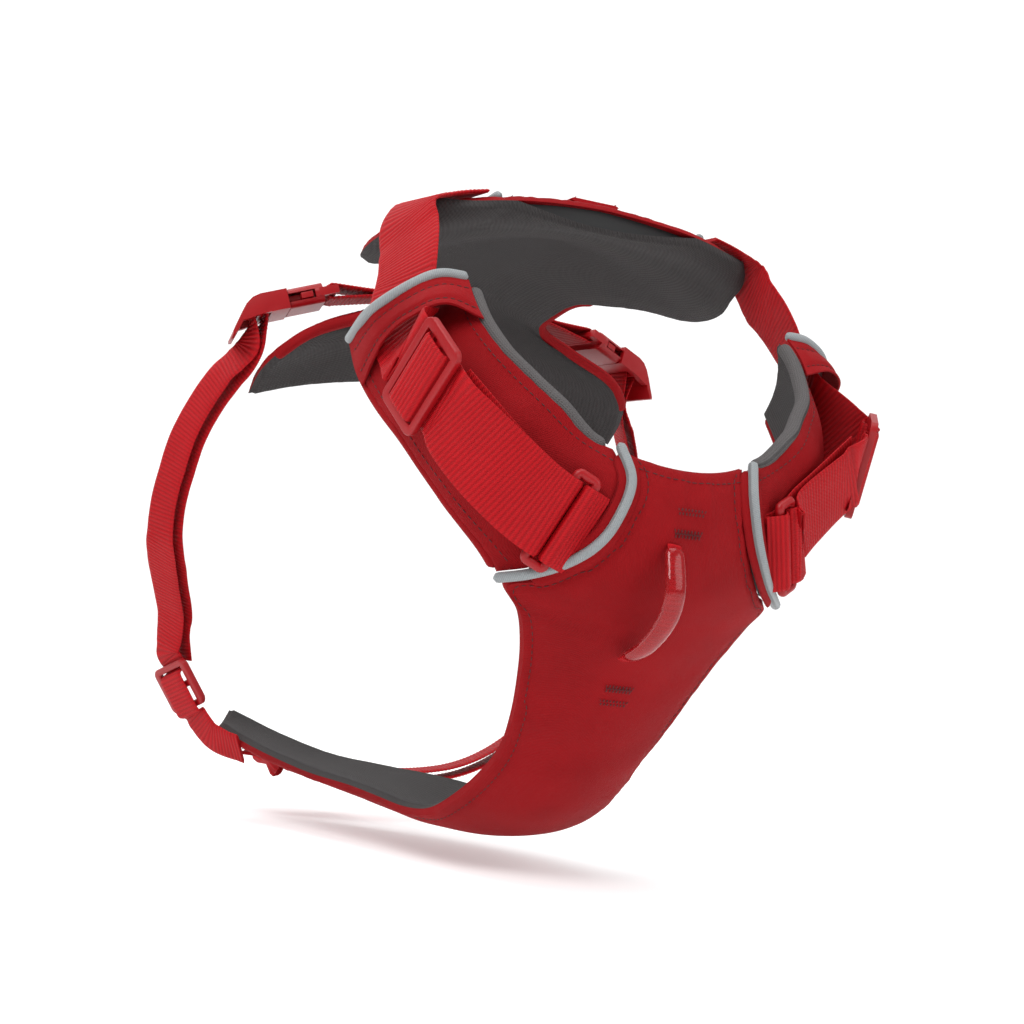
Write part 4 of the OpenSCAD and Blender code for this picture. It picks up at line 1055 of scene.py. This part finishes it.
def makeGirthStrap(side):
    k = girthStrap
    label = sideNames[side]
    s, b = girthSliderFrames[side], buckleFrames[side]
    w = np.array([0.95, -0.3 * side, 0])
    sw, bw = facing(s["s"], w), facing(b["s"], w)
    way = thread[:5] + [(sliderLength / 2, threadZ), (sliderLength / 2 + 2, threadZ - 0.8),
                        (sliderLength / 2 + 3.2, threadZ - 3)]
    t = [inFrame(s, x, z) for x, z in way]
    up = np.array(k["up"][side], float)
    tail = k["tail"][side] + [t[-1]]
    rise = [t[0], t[0] - s["u"] * k["lead"], *up, inFrame(b, plugBar[0] + barWrapR, plugBar[1] - 2)]
    over = arc(b, *plugBar, barWrapR, 0, 180, 8)
    inwards = unit(np.stack([0 * up[:, 0], -up[:, 1], -up[:, 2]], axis=1))
    inset = np.full(len(up), k["inset"])
    inset[-1] = k["topInset"]
    inner = (up + inwards * inset[:, None])[::-1]
    back = [inFrame(b, plugBar[0] - barWrapR, plugBar[1] - 2), *inner,
            inFrame(s, -sliderLength / 2, -threadZ - k["inset"])]
    n = 2 * (len(up) + 2)
    path = np.concatenate([curve(tail, 9), t[-2:0:-1], curve(rise, n), over, curve(back, n)])
    wide = np.concatenate([[sw] * (10 + len(t) - 2), curve([sw, sw, *[w] * len(up), bw], n), [bw] * 9,
                           curve([bw, *[w] * len(up), sw], n)])
    strap = webbing(f"girth_webbing_{label}", path, wide, widths["girth"])
    strap.data.materials.append(materials["webbing"])
    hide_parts(f"girth_strap_{label}")
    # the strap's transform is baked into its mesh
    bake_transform(strap)
    sewn = onSide(socketTab["sewn"], side)
    top = curve([*(sewn + socketTab["upper"]), inFrame(b, socketBarX - 1, barWrapR)], 6)
    under = curve([inFrame(b, socketBarX - 1, -barWrapR), *(sewn + socketTab["lower"])[::-1]], 6)
    path = np.concatenate([top, arc(b, socketBarX, 0, barWrapR, 90, -90, 8), under])
    tab = webbing(f"socket_tab_{label}", path, np.tile(b["s"], (len(path), 1)), widths["girth"])
    place(tab, "root", "webbing", f"socket_webbing_{label}")


for side in (1, -1):
    makeShoulderStrap(side)
    makeGirthStrap(side)
print("webbing made")

# sewing

stitching = {"spacing": 3.1, "length": 2.3, "radius": 0.22, "tackSpacing": 1.0, "tackLength": 1.2, "seed": 4}


sewnNames = {"darkThread": "dark_stitches", "redThread": "red_stitches"}


def stitchTree():
    tree = bpy.data.node_groups.new("stitches along seams", "GeometryNodeTree")
    face = tree.interface
    face.new_socket("Seams", in_out="INPUT", socket_type="NodeSocketGeometry")
    for name in ("Spacing", "Length", "Radius"):
        face.new_socket(name, in_out="INPUT", socket_type="NodeSocketFloat")
    face.new_socket("Thread", in_out="INPUT", socket_type="NodeSocketMaterial")
    face.new_socket("Stitches", in_out="OUTPUT", socket_type="NodeSocketGeometry")
    t = Tree(tree)
    start = t.nodes.new("NodeGroupInput")
    inputs = {s.name: Wire(t, s) for s in start.outputs if s.name}
    lines = t.add("GeometryNodeMeshToCurve", {}, {"Mesh": inputs["Seams"]})
    dots = t.add("GeometryNodeResampleCurve", {"mode": "LENGTH"},
                 {"Curve": lines, "Length": inputs["Spacing"]})
    bead = t.add("GeometryNodeMeshUVSphere", {}, {"Segments": 6, "Rings": 5, "Radius": 1.0})
    along = t.add("GeometryNodeInputTangent")
    turn = t.add("FunctionNodeAlignRotationToVector", {"axis": "Z"}, {"Vector": along})
    wobble = t.add("FunctionNodeRandomValue", {"data_type": "FLOAT"},
                   {2: 0.85, 3: 1.12, "Seed": stitching["seed"]}, 1)
    longer = t.add("ShaderNodeMath", {"operation": "MULTIPLY"}, {0: inputs["Length"], 1: wobble})
    size = t.add("ShaderNodeCombineXYZ", {}, {0: inputs["Radius"], 1: inputs["Radius"], 2: longer})
    put = t.add("GeometryNodeInstanceOnPoints", {},
                {"Points": dots, "Instance": bead, "Rotation": turn, "Scale": size})
    real = t.add("GeometryNodeRealizeInstances", {}, {"Geometry": put})
    done = t.add("GeometryNodeSetMaterial", {}, {"Geometry": real, "Material": inputs["Thread"]})
    end = t.nodes.new("NodeGroupOutput")
    t.links.new(done.socket, end.inputs[0])
    return tree


def sewPiece(name, rows, thread, spacing, length, tree):
    vertices, edges = [], []
    for row in rows:
        row = np.asarray(row, float)
        base = len(vertices)
        vertices += (row * mm).tolist()
        edges += [(base + m, base + m + 1) for m in range(len(row) - 1)]
    mesh = bpy.data.meshes.new(name)
    mesh.from_pydata(vertices, edges, [])
    piece = bpy.data.objects.new(name, mesh)
    bpy.context.scene.collection.objects.link(piece)
    modifier = piece.modifiers.new("stitches", "NODES")
    modifier.node_group = tree
    ids = {s.name: s.identifier for s in tree.interface.items_tree if s.in_out == "INPUT"}
    modifier[ids["Spacing"]] = spacing * mm
    modifier[ids["Length"]] = length / 2 * mm
    modifier[ids["Radius"]] = stitching["radius"] * mm
    modifier[ids["Thread"]] = materials[thread]
    place(plain(piece), "root", "shell_fabric", material=thread)


seamTree = stitchTree()
for thread, rows in stitchRows.items():
    sewPiece(sewnNames[thread], rows, thread, stitching["spacing"], stitching["length"], seamTree)
sewPiece("bar_tacks", tackLines, "darkThread", stitching["tackSpacing"], stitching["tackLength"], seamTree)
print("stitches made")

# camera, floor and lights

camera = {
    "lens": 66.64,
    "place": (0.7866, -0.4357, -0.0472),
    "right": (0.4917, 0.8662, 0.0894),
    "up": (0.0, -0.1026, 0.9947),
    "back": (0.8708, -0.4891, -0.0505),
}


def makeCamera():
    data = bpy.data.cameras.new("camera")
    data.lens = camera["lens"]
    data.sensor_width = 36
    item = bpy.data.objects.new("camera", data)
    bpy.context.scene.collection.objects.link(item)
    turn = Matrix([camera["right"], camera["up"], camera["back"]]).transposed().to_4x4()
    item.matrix_world = Matrix.Translation(camera["place"]) @ turn
    bpy.context.scene.camera = item


studio = {
    "floorZ": -0.165,
    "floorColour": (0.8, 0.8, 0.8),
    "floorGlow": 0.36,
    "world": (0.95, 0.95, 0.96),
    "worldStrength": 0.42,
    "lights": [  # place, size and power
        ((0.7, -1.2, 1.3), 1.0, 24), ((1.4, 0.9, 0.7), 1.2, 9),
        ((-0.9, -0.6, 1.5), 1.0, 12), ((0.3, 0.2, 1.7), 1.2, 10)
    ],
}


def makeStudio():
    s = studio
    profile = [(-2.5, 0)]
    for a in np.radians(np.linspace(0, 90, 13)):
        profile.append((1.6 + 0.9 * math.sin(a), 0.9 - 0.9 * math.cos(a)))
    profile.append((2.5, 4.0))
    away = -np.array(camera["back"][:2]) / np.linalg.norm(camera["back"][:2])
    across = np.array([away[1], -away[0]])
    vertices = []
    for d, z in profile:
        for w in (-5, 5):
            xy = away * d + across * w
            vertices.append((xy[0], xy[1], s["floorZ"] + z))
    faces = [(2 * m, 2 * m + 1, 2 * m + 3, 2 * m + 2) for m in range(len(profile) - 1)]
    mesh = bpy.data.meshes.new("floor")
    mesh.from_pydata(vertices, [], faces)
    mesh.polygons.foreach_set("use_smooth", [True] * len(mesh.polygons))
    floor = bpy.data.objects.new("floor", mesh)
    bpy.context.scene.collection.objects.link(floor)
    paper = bpy.data.materials.new("paper")
    paper.use_nodes = True
    paper.node_tree.nodes["Principled BSDF"].inputs["Base Color"].default_value = s["floorColour"] + (1,)
    paper.node_tree.nodes["Principled BSDF"].inputs["Roughness"].default_value = 0.9
    paper.node_tree.nodes["Principled BSDF"].inputs["Emission Color"].default_value = (1, 1, 1, 1)
    paper.node_tree.nodes["Principled BSDF"].inputs["Emission Strength"].default_value = s["floorGlow"]
    mesh.materials.append(paper)
    world = bpy.data.worlds.new("studio")
    world.use_nodes = True
    world.node_tree.nodes["Background"].inputs[0].default_value = s["world"] + (1,)
    world.node_tree.nodes["Background"].inputs[1].default_value = s["worldStrength"]
    bpy.context.scene.world = world
    for number, (where, size, power) in enumerate(s["lights"]):
        data = bpy.data.lights.new(f"softbox {number}", "AREA")
        data.energy = power
        data.size = size
        lamp = bpy.data.objects.new(f"softbox {number}", data)
        bpy.context.scene.collection.objects.link(lamp)
        z = unit(np.array(where))
        x = unit(np.cross([0, 0, 1], z))
        lamp.matrix_world = Matrix.Translation(where) @ Matrix([x, np.cross(z, x), z]).transposed().to_4x4()


makeCamera()
makeStudio()
bpy.context.scene.view_settings.view_transform = "Standard"
